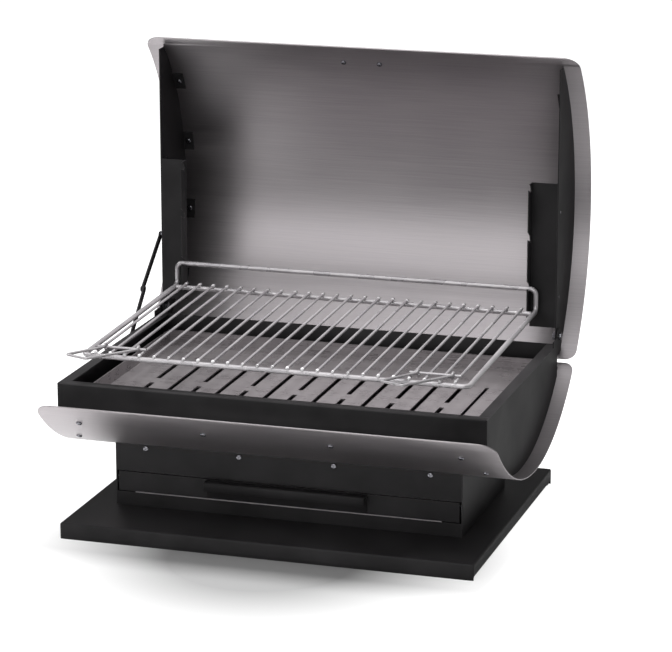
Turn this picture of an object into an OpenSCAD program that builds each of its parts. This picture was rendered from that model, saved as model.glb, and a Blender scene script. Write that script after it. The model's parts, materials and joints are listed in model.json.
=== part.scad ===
// Table barbecue with a hinged quarter-round hood, a hanging cooking grid,
// a slotted charcoal tray and an ash drawer in the pedestal under it.
// Right is +X, the front is -Y and up is +Z. The drawing places everything about the
// middle of the base plate, and the last lines move it to the middle of its own footprint.

/* [Base plate] */
// Width of the base plate
base_w = 545; // [500:1:580]
// Depth of the base plate
base_d = 410; // [380:1:440]
// Height of the base plate's top above the table
base_h = 21; // [14:0.5:30]
// Sheet thickness of the base plate
base_t = 2; // [1.5:0.1:3]
// Height of the side flanges' lower edges above the table
base_side_lift = 5; // [2:0.5:8]
// Width of the return lips under the front and rear flanges
base_lip = 12; // [8:1:20]

/* [Pedestal] */
// Width of the pedestal
ped_w = 464; // [440:1:490]
// Depth of the pedestal
ped_d = 217; // [190:1:240]
// Sheet thickness of the pedestal walls
ped_t = 1.5; // [1:0.1:2.5]
// Height of the lower rail under the drawer
ped_rail_h = 17.5; // [12:0.5:22]
// Height of the drawer opening
drawer_open_h = 28.5; // [24:0.5:32]
// Width of the walls' inward flanges on the base plate
ped_flange = 16; // [12:1:24]
// Spacing of the four screws along the pedestal's top
ped_screw_pitch = 126.7; // [110:0.1:135]
// Distance of those screws below the underside of the shell
ped_screw_drop = 5; // [4.5:0.5:7]
// Width of the brackets' legs under the shell
bracket_leg = 18; // [14:1:26]

/* [Lower shell] */
// How far the lower shell and the hood stand out past the fire box on each side
shell_overhang = 19; // [14:0.5:26]
// Outer radius of the lower shell
shell_r = 293; // [286:1:300]
// Sheet thickness of the lower shell
shell_t = 1.5; // [1:0.1:2]
// Height of the shell's lowest point above the table
shell_low = 83; // [80:1:95]
// Angle from straight down to the front lip
lip_angle = 47.4; // [46:0.1:50]
// Angle from straight down to the rear edge
shell_rear_angle = 45; // [44:0.1:47]
// Corner radius at the front lip
lip_corner = 22; // [14:1:30]
// Corner radius at the rear edge
shell_rear_corner = 12; // [6:1:16]
// Width of the ash hole in the bottom of the shell
ash_hole_w = 340; // [280:1:380]
// Depth of the ash hole
ash_hole_d = 96; // [60:1:120]

/* [Fire box] */
// Width over the fire box's side walls
box_w = 562; // [550:1:570]
// Distance from the middle to the front wall's face
box_front = 181; // [176:1:184]
// Distance from the middle to the rear wall's back face
box_rear = 190; // [188:1:191]
// Height of the rim above the table
rim_z = 199; // [196:1:202]
// Width of the rim turned inwards at the front and the sides
rim_w = 14; // [10:1:18]
// Sheet thickness of the fire box
box_t = 1.5; // [1:0.1:2]
// Length of the flanges turned along the shell
box_flange = 14; // [12:1:16]
// Width of the side walls' tabs on the shell
box_tab_w = 20; // [18:1:26]
// Spacing of the screws along the front and rear flanges
box_screw_pitch = 166.7; // [150:0.1:172]

/* [Charcoal tray] */
// Clearance between the tray and the rim it is lifted past
tray_clear = 2; // [1:0.5:4]
// Gap between the tray and the rear wall
tray_rear_gap = 6.5; // [4:0.5:9]
// Height of the tray's floor above the foot of the rear wall
tray_rise = 6.94; // [4:0.01:9]
// Height of the tray's upturned edges above its floor
tray_edge = 16.5; // [12:0.5:17]
// Sheet thickness of the tray
tray_t = 2; // [1.5:0.1:3]
// Number of slots
slot_count = 14; // [10:1:14]
// Spacing of the slots
slot_pitch = 32.8; // [30:0.1:34]
// Width of a slot
slot_w = 6.5; // [4.5:0.5:9]
// Width of the narrow slot at the right-hand end
slot_end_w = 4.5; // [4.5:0.5:6]
// Rear end of the slots, behind the middle
slot_rear = 84; // [70:1:100]
// Front end of the slots, in front of the middle
slot_front = 148; // [130:1:155]
// Length of the bridge across every second slot
slot_bridge = 22; // [14:1:30]
// Front edge of that bridge, in front of the middle
slot_bridge_y = 21; // [15:1:40]
// Leg width of the tray's ledges
ledge_leg = 12; // [8:1:16]

/* [Hood] */
// Outer radius of the hood
lid_r = 285; // [280:0.5:290]
// Sheet thickness of the hood
lid_t = 1.5; // [1:0.1:2]
// Distance of the hood's top edge behind the side plates' front edges
lid_top_set = 2.59; // [1:0.01:5]
// Height of the centre of the hood's curve
lid_z = 369; // [367:0.5:372]
// Angle from level up to the hood's top edge
lid_top_angle = 48.3; // [47:0.1:49]
// Angle from level down to the hood's lower edge
lid_low_angle = 43.6; // [42.5:0.1:44]
// Corner radius at the hood's top edge
lid_corner = 22; // [14:1:30]
// Corner radius at the hood's lower edge
lid_low_corner = 15; // [8:1:20]
// Distance of the side plates' front edges behind the fire box
chord_gap = 3; // [2:0.5:5]
// Height at which the side plates are cut off at the top
lid_side_top = 566; // [555:1:570]
// Height at which the side plates are cut off below
lid_side_low = 179; // [176:1:184]
// Sheet thickness of the side plates
lid_side_t = 1.5; // [1:0.1:2]
// Gap between a side plate and the fire box's side wall
side_gap = 1.5; // [1:0.1:2]
// Gap between the closed hood and the rim
lid_rest_gap = 1; // [0.5:0.1:2]
// Distance of the hinge bolts behind the side plates' front edges
pivot_back = 7; // [7:0.5:9]
// Diameter of the hinge bolts
pivot_d = 6; // [5:0.5:6]
// Radius of the fire box's lugs round the hinge bolts
lug_r = 11; // [9:0.5:12]
// Length of the side plates' tabs on the hood
lid_tab_l = 26; // [20:1:32]
// Width of those tabs
lid_tab_w = 14; // [12:1:18]
// Angle of the highest tabs above level
lid_tab_top = 30.7; // [28:0.1:34]
// Angle between neighbouring tabs
lid_tab_step = 19.6; // [18:0.1:20.5]
// Number of tabs on each side
lid_tab_count = 4; // [3:1:4]

/* [Hood handle] */
// Width of the hood's folded handle
lid_grip_w = 120; // [80:1:160]
// Angle of the handle's screws above level
lid_grip_angle = 41.4; // [39:0.1:42]
// Spacing of the handle's two screws
lid_grip_pitch = 50; // [40:1:60]
// How far the handle stands off the hood
lid_grip_out = 18; // [14:1:18]
// Height of the handle's mounting leg
lid_grip_leg = 20; // [18:1:24]
// Depth of the handle's folded lip
lid_grip_lip = 13; // [8:1:13]
// Sheet thickness of both folded handles
grip_t = 2; // [1.5:0.1:2.5]

/* [Grid hangers] */
// Width of the hangers' flanges across the opening
hanger_w = 35; // [30:1:38]
// Height of the hangers' lower ends
hanger_low = 220; // [214:1:226]
// Height of the hangers' upper ends
hanger_top = 415; // [400:1:430]
// How far the notched strips stand in front of the flanges
strip_out = 19; // [16:0.5:19]
// Height of the notched strips' lower ends
strip_low = 236; // [232:1:238]
// Sheet thickness of the hangers
hanger_t = 1.5; // [1:0.1:2]
// Depth of the legs that hold the hangers to the side plates
hanger_leg = 20; // [14:1:28]
// Height of the lowest notch's seat
notch_z = 273.5; // [271:0.5:276]
// Spacing of the notches
notch_pitch = 66.6; // [60:0.1:67]
// Number of notches
notch_count = 3; // [2:1:3]
// Slope of the notches above level
notch_slope = 32; // [28:1:36]
// Extra width of the notches above their seats
notch_ease = 1.5; // [1:0.5:3]
// How far behind the strips' front edges the notches end
notch_depth = 9; // [7:0.5:10]

/* [Cooking grid] */
// How far the side rods' centres stand out past the notched strips
grid_overlap = 9.1; // [7:0.1:11]
// Distance from the hanging rod forward to the front rod
grid_d = 346; // [336:1:352]
// Height of the hanging rod above the grid
fence_h = 30.4; // [26:0.1:32]
// Diameter of the frame rod
frame_rod_d = 6.5; // [5:0.1:7]
// Diameter of the cross wires
wire_d = 3.6; // [2.5:0.1:4]
// Spacing of the cross wires
wire_pitch = 19.6; // [18:0.1:19.8]
// Bend radius of the frame rod, to its centre
rod_bend = 8; // [6:0.5:10]
// How far the cross wires run past the rear rail
wire_tail = 6; // [3:0.5:6]
// Depth to which the wires are fused into the rods
weld = 0.4; // [0.2:0.1:0.6]
// How far the grid hangs nose-down, in degrees
grid_droop = 1.6; // [0:0.1:2]

/* [Grid handles] */
// Number of wires outside the handles' pins on each side
handle_inset = 0; // [0:1:3]
// Number of gaps between wires that a handle's pin spans
handle_gaps = 3; // [2:1:4]
// Distance of the handles' eyes from the wires that hold their pins
eye_inset = 6.8; // [5:0.1:8]
// Distance of the handles' pins behind the front rod
handle_pin_back = 16; // [12:1:24]
// Length of the handles' front bars
handle_bar = 30.5; // [20:0.5:36]
// How far the handles reach in front of their pins
handle_reach = 48; // [40:1:54]
// How far the handles lean to the left
handle_lean = 34; // [20:1:40]
// How much further the front bars reach at their right-hand ends
handle_skew = 10; // [0:1:14]
// Width of the handles' eyes on their pins
eye_w = 4; // [3.5:0.5:6]

/* [Stay] */
// Distance of the stay's upper pivot behind the hinge bolts
stay_lid_back = 8; // [4:0.5:12]
// Height of the stay's upper pivot above the hinge bolts
stay_lid_up = 98.5; // [93:0.5:105]
// Distance of the stay's lower pivot in front of the hinge bolts
stay_box_ahead = 131.6; // [128:0.1:136]
// Depth of the stay's lower pivot below the rim
stay_box_drop = 20.7; // [17:0.1:25]
// How far the stay's elbow stands out of line when the hood is open
stay_slack = 5; // [3:0.5:8]
// Width of the stay's links
stay_w = 9; // [8:0.5:12]
// Thickness of the stay's links
stay_t = 2; // [1.5:0.1:2]
// Diameter of the stay's rivets
stay_rivet_d = 4; // [3:0.5:4.5]

/* [Ash drawer] */
// Width of the ash drawer's pan
pan_w = 410; // [390:1:420]
// Depth of the pan behind the drawer front
pan_d = 198; // [160:1:200]
// Height of the pan
pan_h = 23; // [18:0.5:24]
// Sheet thickness of the pan
pan_t = 1; // [0.8:0.1:1.5]
// Width of the pan's side flanges that ride on the runners
pan_flange = 10; // [7:0.5:12]
// How far the pan's bright front edge shows in front of the drawer front
pan_lip = 1.4; // [0.5:0.1:3]
// Gap at each end of the drawer front
front_end_gap = 2.5; // [1.5:0.1:4]
// Gap over the drawer front
front_top_gap = 1.2; // [0.6:0.1:2]
// Width of the drawer's folded handle
drawer_grip_w = 214; // [160:1:240]
// How far the drawer's handle stands out
drawer_grip_out = 14; // [10:0.5:18]
// Depth of its folded lip
drawer_grip_lip = 12; // [8:0.5:14]

/* [Fasteners] */
// Diameter of the small screws and rivets
screw_d = 4; // [3:0.5:4]
// Diameter of their heads
screw_head_d = 7.4; // [6:0.1:8]
// Height of their heads
screw_head_h = 2.2; // [1.5:0.1:3]
// Diameter of the hinge bolts' heads and nuts
bolt_head_d = 11; // [9:0.5:12]
// Height of the hinge bolts' heads
bolt_head_h = 3; // [2:0.5:4]
// Height of the hinge bolts' nuts
nut_h = 4; // [3:0.5:5]
// Radial clearance of screws in their holes
hole_clear = 0.15; // [0.1:0.05:0.3]
// Running clearance of a pin in its bore
pin_clear = 0.05; // [0.03:0.01:0.1]
// Gap left between pieces that lie on each other
seat_gap = 0.1; // [0.05:0.05:0.2]
// Gap left between pieces that move past each other
run_gap = 0.4; // [0.3:0.1:0.6]

/* [Hidden] */

// Facets of large arcs, of small round parts and of wire bends
arc_fn = 180;
small_fn = 32;
bend_fn = 24;
// Extra length by which a cutting shape runs past what it cuts
past = 1;
// How far a corner's arc runs past the edges that it joins
corner_bite = 0.15;

black = [0.15, 0.14, 0.15];
steel = [0.72, 0.71, 0.72];
tray_grey = [0.51, 0.49, 0.5];
wire_grey = [0.6, 0.59, 0.6];
zinc = [0.78, 0.78, 0.8];

// Centre of the lower shell's curve and its inner radius
shell_z = shell_low + shell_r;
shell_in = shell_r - shell_t;
shell_w = box_w + 2 * shell_overhang;
// Centre of the hood's curve behind the middle, so that its top edge keeps its place
chord_y = box_rear + chord_gap;
lid_y = chord_y + lid_top_set - lid_r * cos(lid_top_angle);
// Centre of the footprint, half way from the lip to the back of the hood
mid_y = (lid_y + lid_r - shell_r * sin(lip_angle)) / 2;

// Pedestal
ped_front = -ped_d / 2;
drawer_z0 = base_h + ped_rail_h;
drawer_z1 = drawer_z0 + drawer_open_h;
ped_in_x = ped_w / 2 - ped_t;
ped_top = shell_z - sqrt(pow(shell_r, 2) - pow(ped_d / 2, 2));
ped_screw_z = ped_top - ped_screw_drop;

// Fire box
box_in_x = box_w / 2 - box_t;
box_r = shell_in - seat_gap;
deg_per_mm = 180 / (PI * box_r);
front_foot = 180 + acos((box_front - box_t / 2) / box_r);
rear_foot = 360 - acos((box_rear - box_t / 2) / box_r);
front_screw_angle = front_foot - box_flange * deg_per_mm / 2;
rear_screw_angle = rear_foot + box_flange * deg_per_mm / 2;
tab_swing = 28.5;
tab_r = box_r - seat_gap;
tab_x = box_in_x - box_tab_w / 2;

// Charcoal tray
tray_x = box_w / 2 - rim_w - tray_clear;
tray_y0 = -(box_front - rim_w - tray_clear);
tray_y1 = box_rear - box_t - tray_rear_gap;
tray_z = shell_z - sqrt(pow(box_r, 2) - pow(box_rear, 2)) + tray_rise;

// Hinge of the hood
pivot_y = chord_y + pivot_back;
pivot_z = rim_z + lid_rest_gap + pivot_back;
lid_in = lid_r - lid_t;
lid_side_x = box_in_x - side_gap;
lid_side_r = lid_in - seat_gap;
lid_tab_r = lid_side_r - seat_gap;
bolt_head_r = bolt_head_d / 2;

// Grid hangers
strip_x = lid_side_x - lid_side_t - seat_gap - hanger_w + hanger_t;
strip_y = chord_y - strip_out;
notch_w = frame_rod_d + 2 * run_gap;
seat_y = strip_y + notch_depth;

// Cooking grid, measured from its hanging rod
grid_w = 2 * (strip_x + grid_overlap);
wire_half = floor((grid_w / 2 - frame_rod_d) / wire_pitch);
left_handle_wire = handle_inset - wire_half;
right_handle_wire = wire_half - handle_gaps - handle_inset;
wire_z = -fence_h + (frame_rod_d + wire_d) / 2 - weld;
// The rear rail leans on the strips' front edges, also when the grid hangs nose-down
rail_y = (strip_y - frame_rod_d / 2 - run_gap - seat_y - fence_h * sin(grid_droop)) / cos(grid_droop);
wire_top = wire_z + wire_d / 2;
pin_y = -grid_d + handle_pin_back;
pin_z = wire_top + wire_d / 2 - weld;
handle_z = wire_top + wire_d / 2 + run_gap;

// Stay, in planes outside the fire box's left side wall
stay_low_x = -box_w / 2 - run_gap;
stay_up_x = stay_low_x - stay_t - run_gap;
stay_lid_y = pivot_y + stay_lid_back;
stay_lid_z = pivot_z + stay_lid_up;
stay_box_y = pivot_y - stay_box_ahead;
stay_box_z = rim_z - stay_box_drop;
stay_span = norm([stay_lid_y - stay_box_y, stay_lid_z - stay_box_z]);
stay_dir = atan2(stay_lid_z - stay_box_z, stay_lid_y - stay_box_y);
stay_len = norm([stay_span / 2, stay_slack]);
stay_bend = atan2(stay_slack, stay_span / 2);

// Ash drawer
front_x = ped_in_x - front_end_gap;
front_y = ped_front + ped_t;
pan_z = drawer_z0 + run_gap;
pan_top = pan_z + pan_h;
front_low = pan_z + pan_t + seat_gap;
front_top = drawer_z1 - front_top_gap;
runner_t = 1.5;
runner_gap = 2;
runner_leg = 14;

// Draws a flat shape in the Y-Z plane and gives it a thickness along X
module plate_x(x0, t) {
    rotate([90, 0, 90])
        translate([0, 0, x0])
            linear_extrude(t)
                children();
}

// A box given by its lowest and highest corners
module block(a, b) {
    translate(a)
        cube(b - a);
}

// A sheet rolled about an axis along X, between two angles
module rolled_sheet(yc, zc, r_in, r_out, a0, a1, x0, x1) {
    rotate([90, 0, 90])
        translate([yc, zc, 0])
            rotate([0, 0, a0])
                rotate_extrude(angle = a1 - a0, $fn = arc_fn)
                    translate([r_in, x0])
                        square([r_out - r_in, x1 - x0]);
}

// Turns the children so that Z points outwards at an angle of a rolled sheet
module on_roll(yc, zc, r, a, x) {
    rotate([90, 0, 90])
        translate([yc, zc, 0])
            rotate([0, 0, a])
                translate([r, 0, x])
                    rotate([0, 90, 0])
                        children();
}

// The corner of a rolled sheet that a radius takes away
module corner_cutter(yc, zc, r, a, x, c, su, sv) {
    rotate([90, 0, 90])
        translate([yc, zc, 0])
            rotate([0, 0, a])
                translate([r, 0, x])
                    rotate([90, 0, 90])
                        translate([0, 0, -c])
                            linear_extrude(2 * c)
                                difference() {
                                    translate([su > 0 ? -c : -past, sv > 0 ? -c : -past])
                                        square(c + past);
                                    translate([-su * c, -sv * c])
                                        circle(c + corner_bite, $fn = 4 * small_fn);
                                }
}

// A rolled sheet with rounded corners at its two ends
module rounded_roll(yc, zc, r_out, t, a0, a1, w, c0, c1) {
    difference() {
        rolled_sheet(yc, zc, r_out - t, r_out, a0, a1, -w / 2, w / 2);
        for (s = [-1, 1]) {
            corner_cutter(yc, zc, r_out, a0, s * w / 2, c0, -1, s);
            corner_cutter(yc, zc, r_out, a1, s * w / 2, c1, 1, s);
        }
    }
}

// A wedge of the Y-Z plane between two angles, for trimming flanges
module wedge(yc, zc, a0, a1, r) {
    translate([yc, zc])
        polygon([[0, 0], [r * cos(a0), r * sin(a0)], [r * cos(a1), r * sin(a1)]]);
}

// A thin ring segment in the Y-Z plane, as a flange lies on a rolled sheet
module ring_part(yc, zc, r, t, a0, a1) {
    intersection() {
        translate([yc, zc])
            difference() {
                circle(r, $fn = arc_fn);
                circle(r - t, $fn = arc_fn);
            }
        wedge(yc, zc, a0, a1, 2 * r);
    }
}

// A screw or rivet along Z with its head above Z = 0
module screw(shank, head_r, head_h, r) {
    translate([0, 0, -shank])
        cylinder(r = r, h = shank + past / 2, $fn = small_fn);
    cylinder(r = head_r, h = head_h, $fn = small_fn);
}

module small_screw(shank) {
    screw(shank, screw_head_d / 2, screw_head_h, screw_d / 2);
}

module screw_hole(depth) {
    translate([0, 0, -depth])
        cylinder(r = screw_d / 2 + hole_clear, h = 2 * depth, $fn = small_fn);
}

// Positions of four screws in a row
function row_of_four(pitch) = [for (i = [-1.5:1:1.5]) i * pitch];

module mirror_x(on) {
    mirror([on ? 1 : 0, 0, 0])
        children();
}

// Base plate

base_screw_x = ped_in_x - ped_flange / 2;
base_screw_ys = [-ped_d / 4, ped_d / 4];

module base_plate() {
    x = base_w / 2;
    y = base_d / 2;
    color(black)
        difference() {
            union() {
                block([-x, -y, base_h - base_t], [x, y, base_h]);
                for (s = [-1, 1]) {
                    block([-x, s * y - (s > 0 ? base_t : 0), 0], [x, s * y + (s > 0 ? 0 : base_t), base_h]);
                    block([s * x - (s > 0 ? base_t : 0), -y, base_side_lift],
                          [s * x + (s > 0 ? 0 : base_t), y, base_h]);
                    block([-x + 2 * base_t, s > 0 ? y - base_lip : -y, 0],
                          [x - 2 * base_t, s > 0 ? y : -y + base_lip, base_t]);
                }
            }
            for (sx = [-1, 1], y = base_screw_ys)
                translate([sx * base_screw_x, y, base_h])
                    screw_hole(2 * base_t);
        }
}

module base_screws() {
    color(zinc)
        for (sx = [-1, 1], y = base_screw_ys)
            translate([sx * base_screw_x, y, base_h - base_t])
                rotate([180, 0, 0])
                    small_screw(base_t + ped_t + screw_head_h);
}

// Pedestal

module pedestal_side() {
    color(black)
        difference() {
            union() {
                plate_x(ped_in_x, ped_t)
                    difference() {
                        translate([ped_front, base_h])
                            square([ped_d, shell_z - base_h]);
                        translate([0, shell_z])
                            circle(shell_r + seat_gap, $fn = arc_fn);
                    }
                block([ped_in_x - ped_flange, ped_front + 2 * ped_t, base_h],
                      [ped_in_x + ped_t / 2, -ped_front - 2 * ped_t, base_h + ped_t]);
            }
            for (y = base_screw_ys)
                translate([base_screw_x, y, base_h + ped_t])
                    screw_hole(2 * ped_t);
        }
}

module pedestal_side_right() {
    pedestal_side();
}

module pedestal_side_left() {
    mirror_x(true)
        pedestal_side();
}

// A wall across the pedestal, cut to the underside of the shell
module cross_wall(z0, z1) {
    x = ped_in_x - seat_gap;
    difference() {
        block([-x, ped_front, z0], [x, ped_front + ped_t, z1]);
        rolled_sheet(0, shell_z, 0, shell_r + seat_gap, 180, 360, -x - past, x + past);
        for (px = row_of_four(ped_screw_pitch))
            translate([px, ped_front, ped_screw_z])
                rotate([90, 0, 0])
                    screw_hole(2 * ped_t);
    }
}

module pedestal_front_band() {
    color(black)
        cross_wall(drawer_z1, shell_z);
}

module pedestal_front_rail() {
    x = ped_in_x - seat_gap;
    color(black) {
        block([-x, ped_front, base_h], [x, ped_front + ped_t, drawer_z0]);
        block([-x + ped_flange + past, ped_front + ped_t / 2, base_h],
              [x - ped_flange - past, ped_front + ped_flange, base_h + ped_t]);
    }
}

module pedestal_rear() {
    color(black)
        mirror([0, 1, 0])
            cross_wall(base_h, shell_z);
}

// A bracket that holds the shell on the pedestal's front wall
module shell_bracket() {
    y0 = ped_front + ped_t + seat_gap;
    x = ped_screw_pitch * 1.5 + ped_flange;
    a0 = 270 - asin(-(y0 + ped_t / 2) / (shell_r + ped_t));
    a1 = bracket_mid + bracket_leg / shell_r * 90 / PI;
    difference() {
        union() {
            difference() {
                block([-x, y0, ped_screw_z - ped_flange / 2], [x, y0 + ped_t, shell_z]);
                rolled_sheet(0, shell_z, 0, shell_r + seat_gap, 180, 360, -x - past, x + past);
            }
            rolled_sheet(0, shell_z, shell_r + 2 * seat_gap, shell_r + 2 * seat_gap + ped_t, a0, a1, -x, x);
        }
        for (px = row_of_four(ped_screw_pitch))
            translate([px, ped_front, ped_screw_z])
                rotate([90, 0, 0])
                    screw_hole(4 * ped_t);
        for (px = row_of_four(bracket_pitch))
            on_roll(0, shell_z, shell_r, bracket_mid, px)
                screw_hole(4 * ped_t);
    }
}

bracket_pitch = 100;
bracket_mid = 270 - asin(-(ped_front + ped_t + seat_gap) / (shell_r + ped_t))
    + bracket_leg / shell_r * 90 / PI;

module shell_bracket_front() {
    color(black)
        shell_bracket();
}

module shell_bracket_rear() {
    color(black)
        mirror([0, 1, 0])
            shell_bracket();
}

module bracket_screws() {
    color(zinc)
        for (m = [0, 1], px = row_of_four(bracket_pitch))
            mirror([0, m, 0])
                on_roll(0, shell_z, shell_in - seat_gap, bracket_mid, px)
                    rotate([180, 0, 0])
                        small_screw(shell_t + ped_t + screw_head_h);
}

module pedestal_screws() {
    color(zinc)
        for (m = [0, 1], px = row_of_four(ped_screw_pitch))
            mirror([0, m, 0])
                translate([px, ped_front, ped_screw_z])
                    rotate([90, 0, 0])
                        small_screw(2 * ped_t + screw_head_h / 2);
}

// Drawer runners

runner_z = pan_top - pan_t - seat_gap;

module drawer_runner() {
    y = ped_d / 2 - 2 * ped_t - runner_gap;
    x1 = ped_in_x - seat_gap;
    color(zinc) {
        block([pan_w / 2 + runner_gap, -y, runner_z - runner_t], [x1, y, runner_z]);
        block([x1 - runner_t, -y, runner_z - runner_leg], [x1, y, runner_z]);
    }
}

module drawer_runner_right() {
    drawer_runner();
}

module drawer_runner_left() {
    mirror_x(true)
        drawer_runner();
}

// Lower shell

module lower_shell() {
    color(steel)
        difference() {
            rounded_roll(0, shell_z, shell_r, shell_t, 270 - lip_angle, 270 + shell_rear_angle,
                         shell_w, lip_corner, shell_rear_corner);
            block([-ash_hole_w / 2, -ash_hole_d / 2, shell_low - past],
                  [ash_hole_w / 2, ash_hole_d / 2, shell_z / 2]);
            for (px = row_of_four(box_screw_pitch), a = [front_screw_angle, rear_screw_angle])
                on_roll(0, shell_z, shell_r, a, px)
                    screw_hole(2 * shell_t);
            for (sx = [-1, 1], a = [270 - tab_swing, 270 + tab_swing])
                on_roll(0, shell_z, shell_r, a, sx * tab_x)
                    screw_hole(2 * shell_t);
            for (m = [0, 1], px = row_of_four(bracket_pitch))
                mirror([0, m, 0])
                    on_roll(0, shell_z, shell_r, bracket_mid, px)
                        screw_hole(2 * shell_t);
        }
}

module shell_screws() {
    shank = shell_t + box_t + screw_head_h;
    color(zinc) {
        for (px = row_of_four(box_screw_pitch), a = [front_screw_angle, rear_screw_angle])
            on_roll(0, shell_z, shell_r, a, px)
                small_screw(shank);
        for (sx = [-1, 1], a = [270 - tab_swing, 270 + tab_swing])
            on_roll(0, shell_z, shell_r, a, sx * tab_x)
                small_screw(shank);
    }
}

// Fire box

module firebox_front() {
    x = box_in_x - seat_gap;
    color(black)
        difference() {
            plate_x(-x, 2 * x) {
                intersection() {
                    translate([0, shell_z])
                        circle(box_r, $fn = arc_fn);
                    union() {
                        translate([-box_front, shell_low])
                            square([box_t, rim_z - shell_low]);
                        translate([-box_front, rim_z - box_t])
                            square([rim_w, box_t]);
                    }
                }
                ring_part(0, shell_z, box_r, box_t, front_foot - box_flange * deg_per_mm, front_foot);
            }
            for (px = row_of_four(box_screw_pitch))
                on_roll(0, shell_z, box_r, front_screw_angle, px)
                    screw_hole(2 * box_t);
        }
}

module firebox_rear() {
    x = box_in_x - seat_gap;
    color(black)
        difference() {
            plate_x(-x, 2 * x) {
                intersection() {
                    translate([0, shell_z])
                        circle(box_r, $fn = arc_fn);
                    translate([box_rear - box_t, shell_low])
                        square([box_t, rim_z - shell_low]);
                }
                ring_part(0, shell_z, box_r, box_t, rear_foot, rear_foot + box_flange * deg_per_mm);
            }
            for (px = row_of_four(box_screw_pitch))
                on_roll(0, shell_z, box_r, rear_screw_angle, px)
                    screw_hole(2 * box_t);
        }
}

// Outline of a side wall with the lug round its hinge bolt
module box_side_outline() {
    intersection() {
        translate([0, shell_z])
            circle(box_r, $fn = arc_fn);
        translate([-box_front, shell_low])
            square([box_front + box_rear, rim_z - shell_low]);
    }
    translate([box_rear - 2 * lug_r, rim_z - rim_w])
        square([pivot_y + lug_r - box_rear + 2 * lug_r, pivot_z - rim_z + rim_w]);
    translate([pivot_y, pivot_z])
        circle(lug_r, $fn = 2 * small_fn);
}

module firebox_side() {
    tab_half = box_tab_w * deg_per_mm / 2;
    difference() {
        union() {
            plate_x(box_in_x, box_t)
                box_side_outline();
            block([box_w / 2 - rim_w, -box_front + rim_w + seat_gap, rim_z - box_t],
                  [box_in_x + box_t / 2, box_rear - 2 * box_t, rim_z]);
            for (a = [270 - tab_swing, 270 + tab_swing])
                rolled_sheet(0, shell_z, tab_r - box_t, tab_r, a - tab_half, a + tab_half,
                             box_in_x - box_tab_w, box_in_x + box_t / 2);
        }
        translate([0, pivot_y, pivot_z])
            rotate([0, 90, 0])
                cylinder(r = pivot_d / 2 + hole_clear, h = box_w, $fn = small_fn);
        for (a = [270 - tab_swing, 270 + tab_swing])
            on_roll(0, shell_z, box_r, a, tab_x)
                screw_hole(2 * box_t);
    }
}

module firebox_side_right() {
    color(black)
        firebox_side();
}

module firebox_side_left() {
    color(black)
        difference() {
            mirror_x(true)
                firebox_side();
            translate([-box_w / 2, stay_box_y, stay_box_z])
                rotate([0, 90, 0])
                    cylinder(r = stay_rivet_d / 2 + hole_clear, h = 4 * box_t, center = true, $fn = small_fn);
        }
}

// An angle that carries one edge of the charcoal tray
module ledge(y0, y1, wall_y) {
    x = tray_x - rim_w;
    z = tray_z - tray_t - seat_gap;
    color(black)
        intersection() {
            union() {
                block([-x, min(y0, y1), z - box_t], [x, max(y0, y1), z]);
                block([-x, min(wall_y, wall_y + sign(y1 - y0) * box_t), z - ledge_leg],
                      [x, max(wall_y, wall_y + sign(y1 - y0) * box_t), z]);
            }
            rolled_sheet(0, shell_z, 0, box_r - box_t - seat_gap, 180, 360, -x, x);
        }
}

module tray_ledge_front() {
    y = -box_front + box_t + seat_gap;
    ledge(y, tray_y0 + ledge_leg, y);
}

module tray_ledge_rear() {
    y = box_rear - box_t - seat_gap;
    ledge(y, tray_y1 - ledge_leg, y);
}

// Charcoal tray

function slot_x(i) = (i - (slot_count - 1) / 2) * slot_pitch;
function slot_width(i) = i == slot_count - 1 ? slot_end_w : slot_w;

module slot_cutter(x, w, y0, y1) {
    block([x - w / 2, y0, tray_z - 2 * tray_t], [x + w / 2, y1, tray_z + tray_t]);
}

module charcoal_tray() {
    color(tray_grey)
        difference() {
            block([-tray_x, tray_y0, tray_z - tray_t], [tray_x, tray_y1, tray_z + tray_edge]);
            block([-tray_x + tray_t, tray_y0 + tray_t, tray_z],
                  [tray_x - tray_t, tray_y1 - tray_t, rim_z]);
            for (i = [0:slot_count - 1]) {
                if (i % 2 == 1)
                    slot_cutter(slot_x(i), slot_width(i), -slot_front, slot_rear);
                if (i % 2 == 0) {
                    slot_cutter(slot_x(i), slot_width(i), -slot_front, -slot_bridge_y);
                    slot_cutter(slot_x(i), slot_width(i), slot_bridge - slot_bridge_y, slot_rear);
                }
            }
        }
}

// Hinge of the hood

module lid_pivot_bolts() {
    shank = box_t + side_gap + lid_side_t + run_gap + nut_h;
    color(zinc)
        for (s = [0, 1])
            mirror_x(s == 1)
                translate([box_w / 2 + seat_gap, pivot_y, pivot_z])
                    rotate([0, 90, 0]) {
                        screw(shank + seat_gap, bolt_head_r, bolt_head_h, pivot_d / 2);
                        translate([0, 0, -shank])
                            cylinder(r = bolt_head_r, h = nut_h - seat_gap, $fn = 6);
                    }
}

module lid_pivot_washers() {
    color(zinc)
        for (s = [0, 1])
            mirror_x(s == 1)
                translate([lid_side_x + run_gap, pivot_y, pivot_z])
                    rotate([0, 90, 0])
                        difference() {
                            cylinder(r = bolt_head_r, h = side_gap - run_gap - seat_gap, $fn = small_fn);
                            translate([0, 0, -past])
                                cylinder(r = pivot_d / 2 + hole_clear, h = 2 * side_gap, $fn = small_fn);
                        }
}

// Hood

tab_angles = [for (i = [0:lid_tab_count - 1]) lid_tab_top - i * lid_tab_step];
lid_tab_x = lid_side_x - lid_side_t - lid_tab_w / 2;

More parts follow.
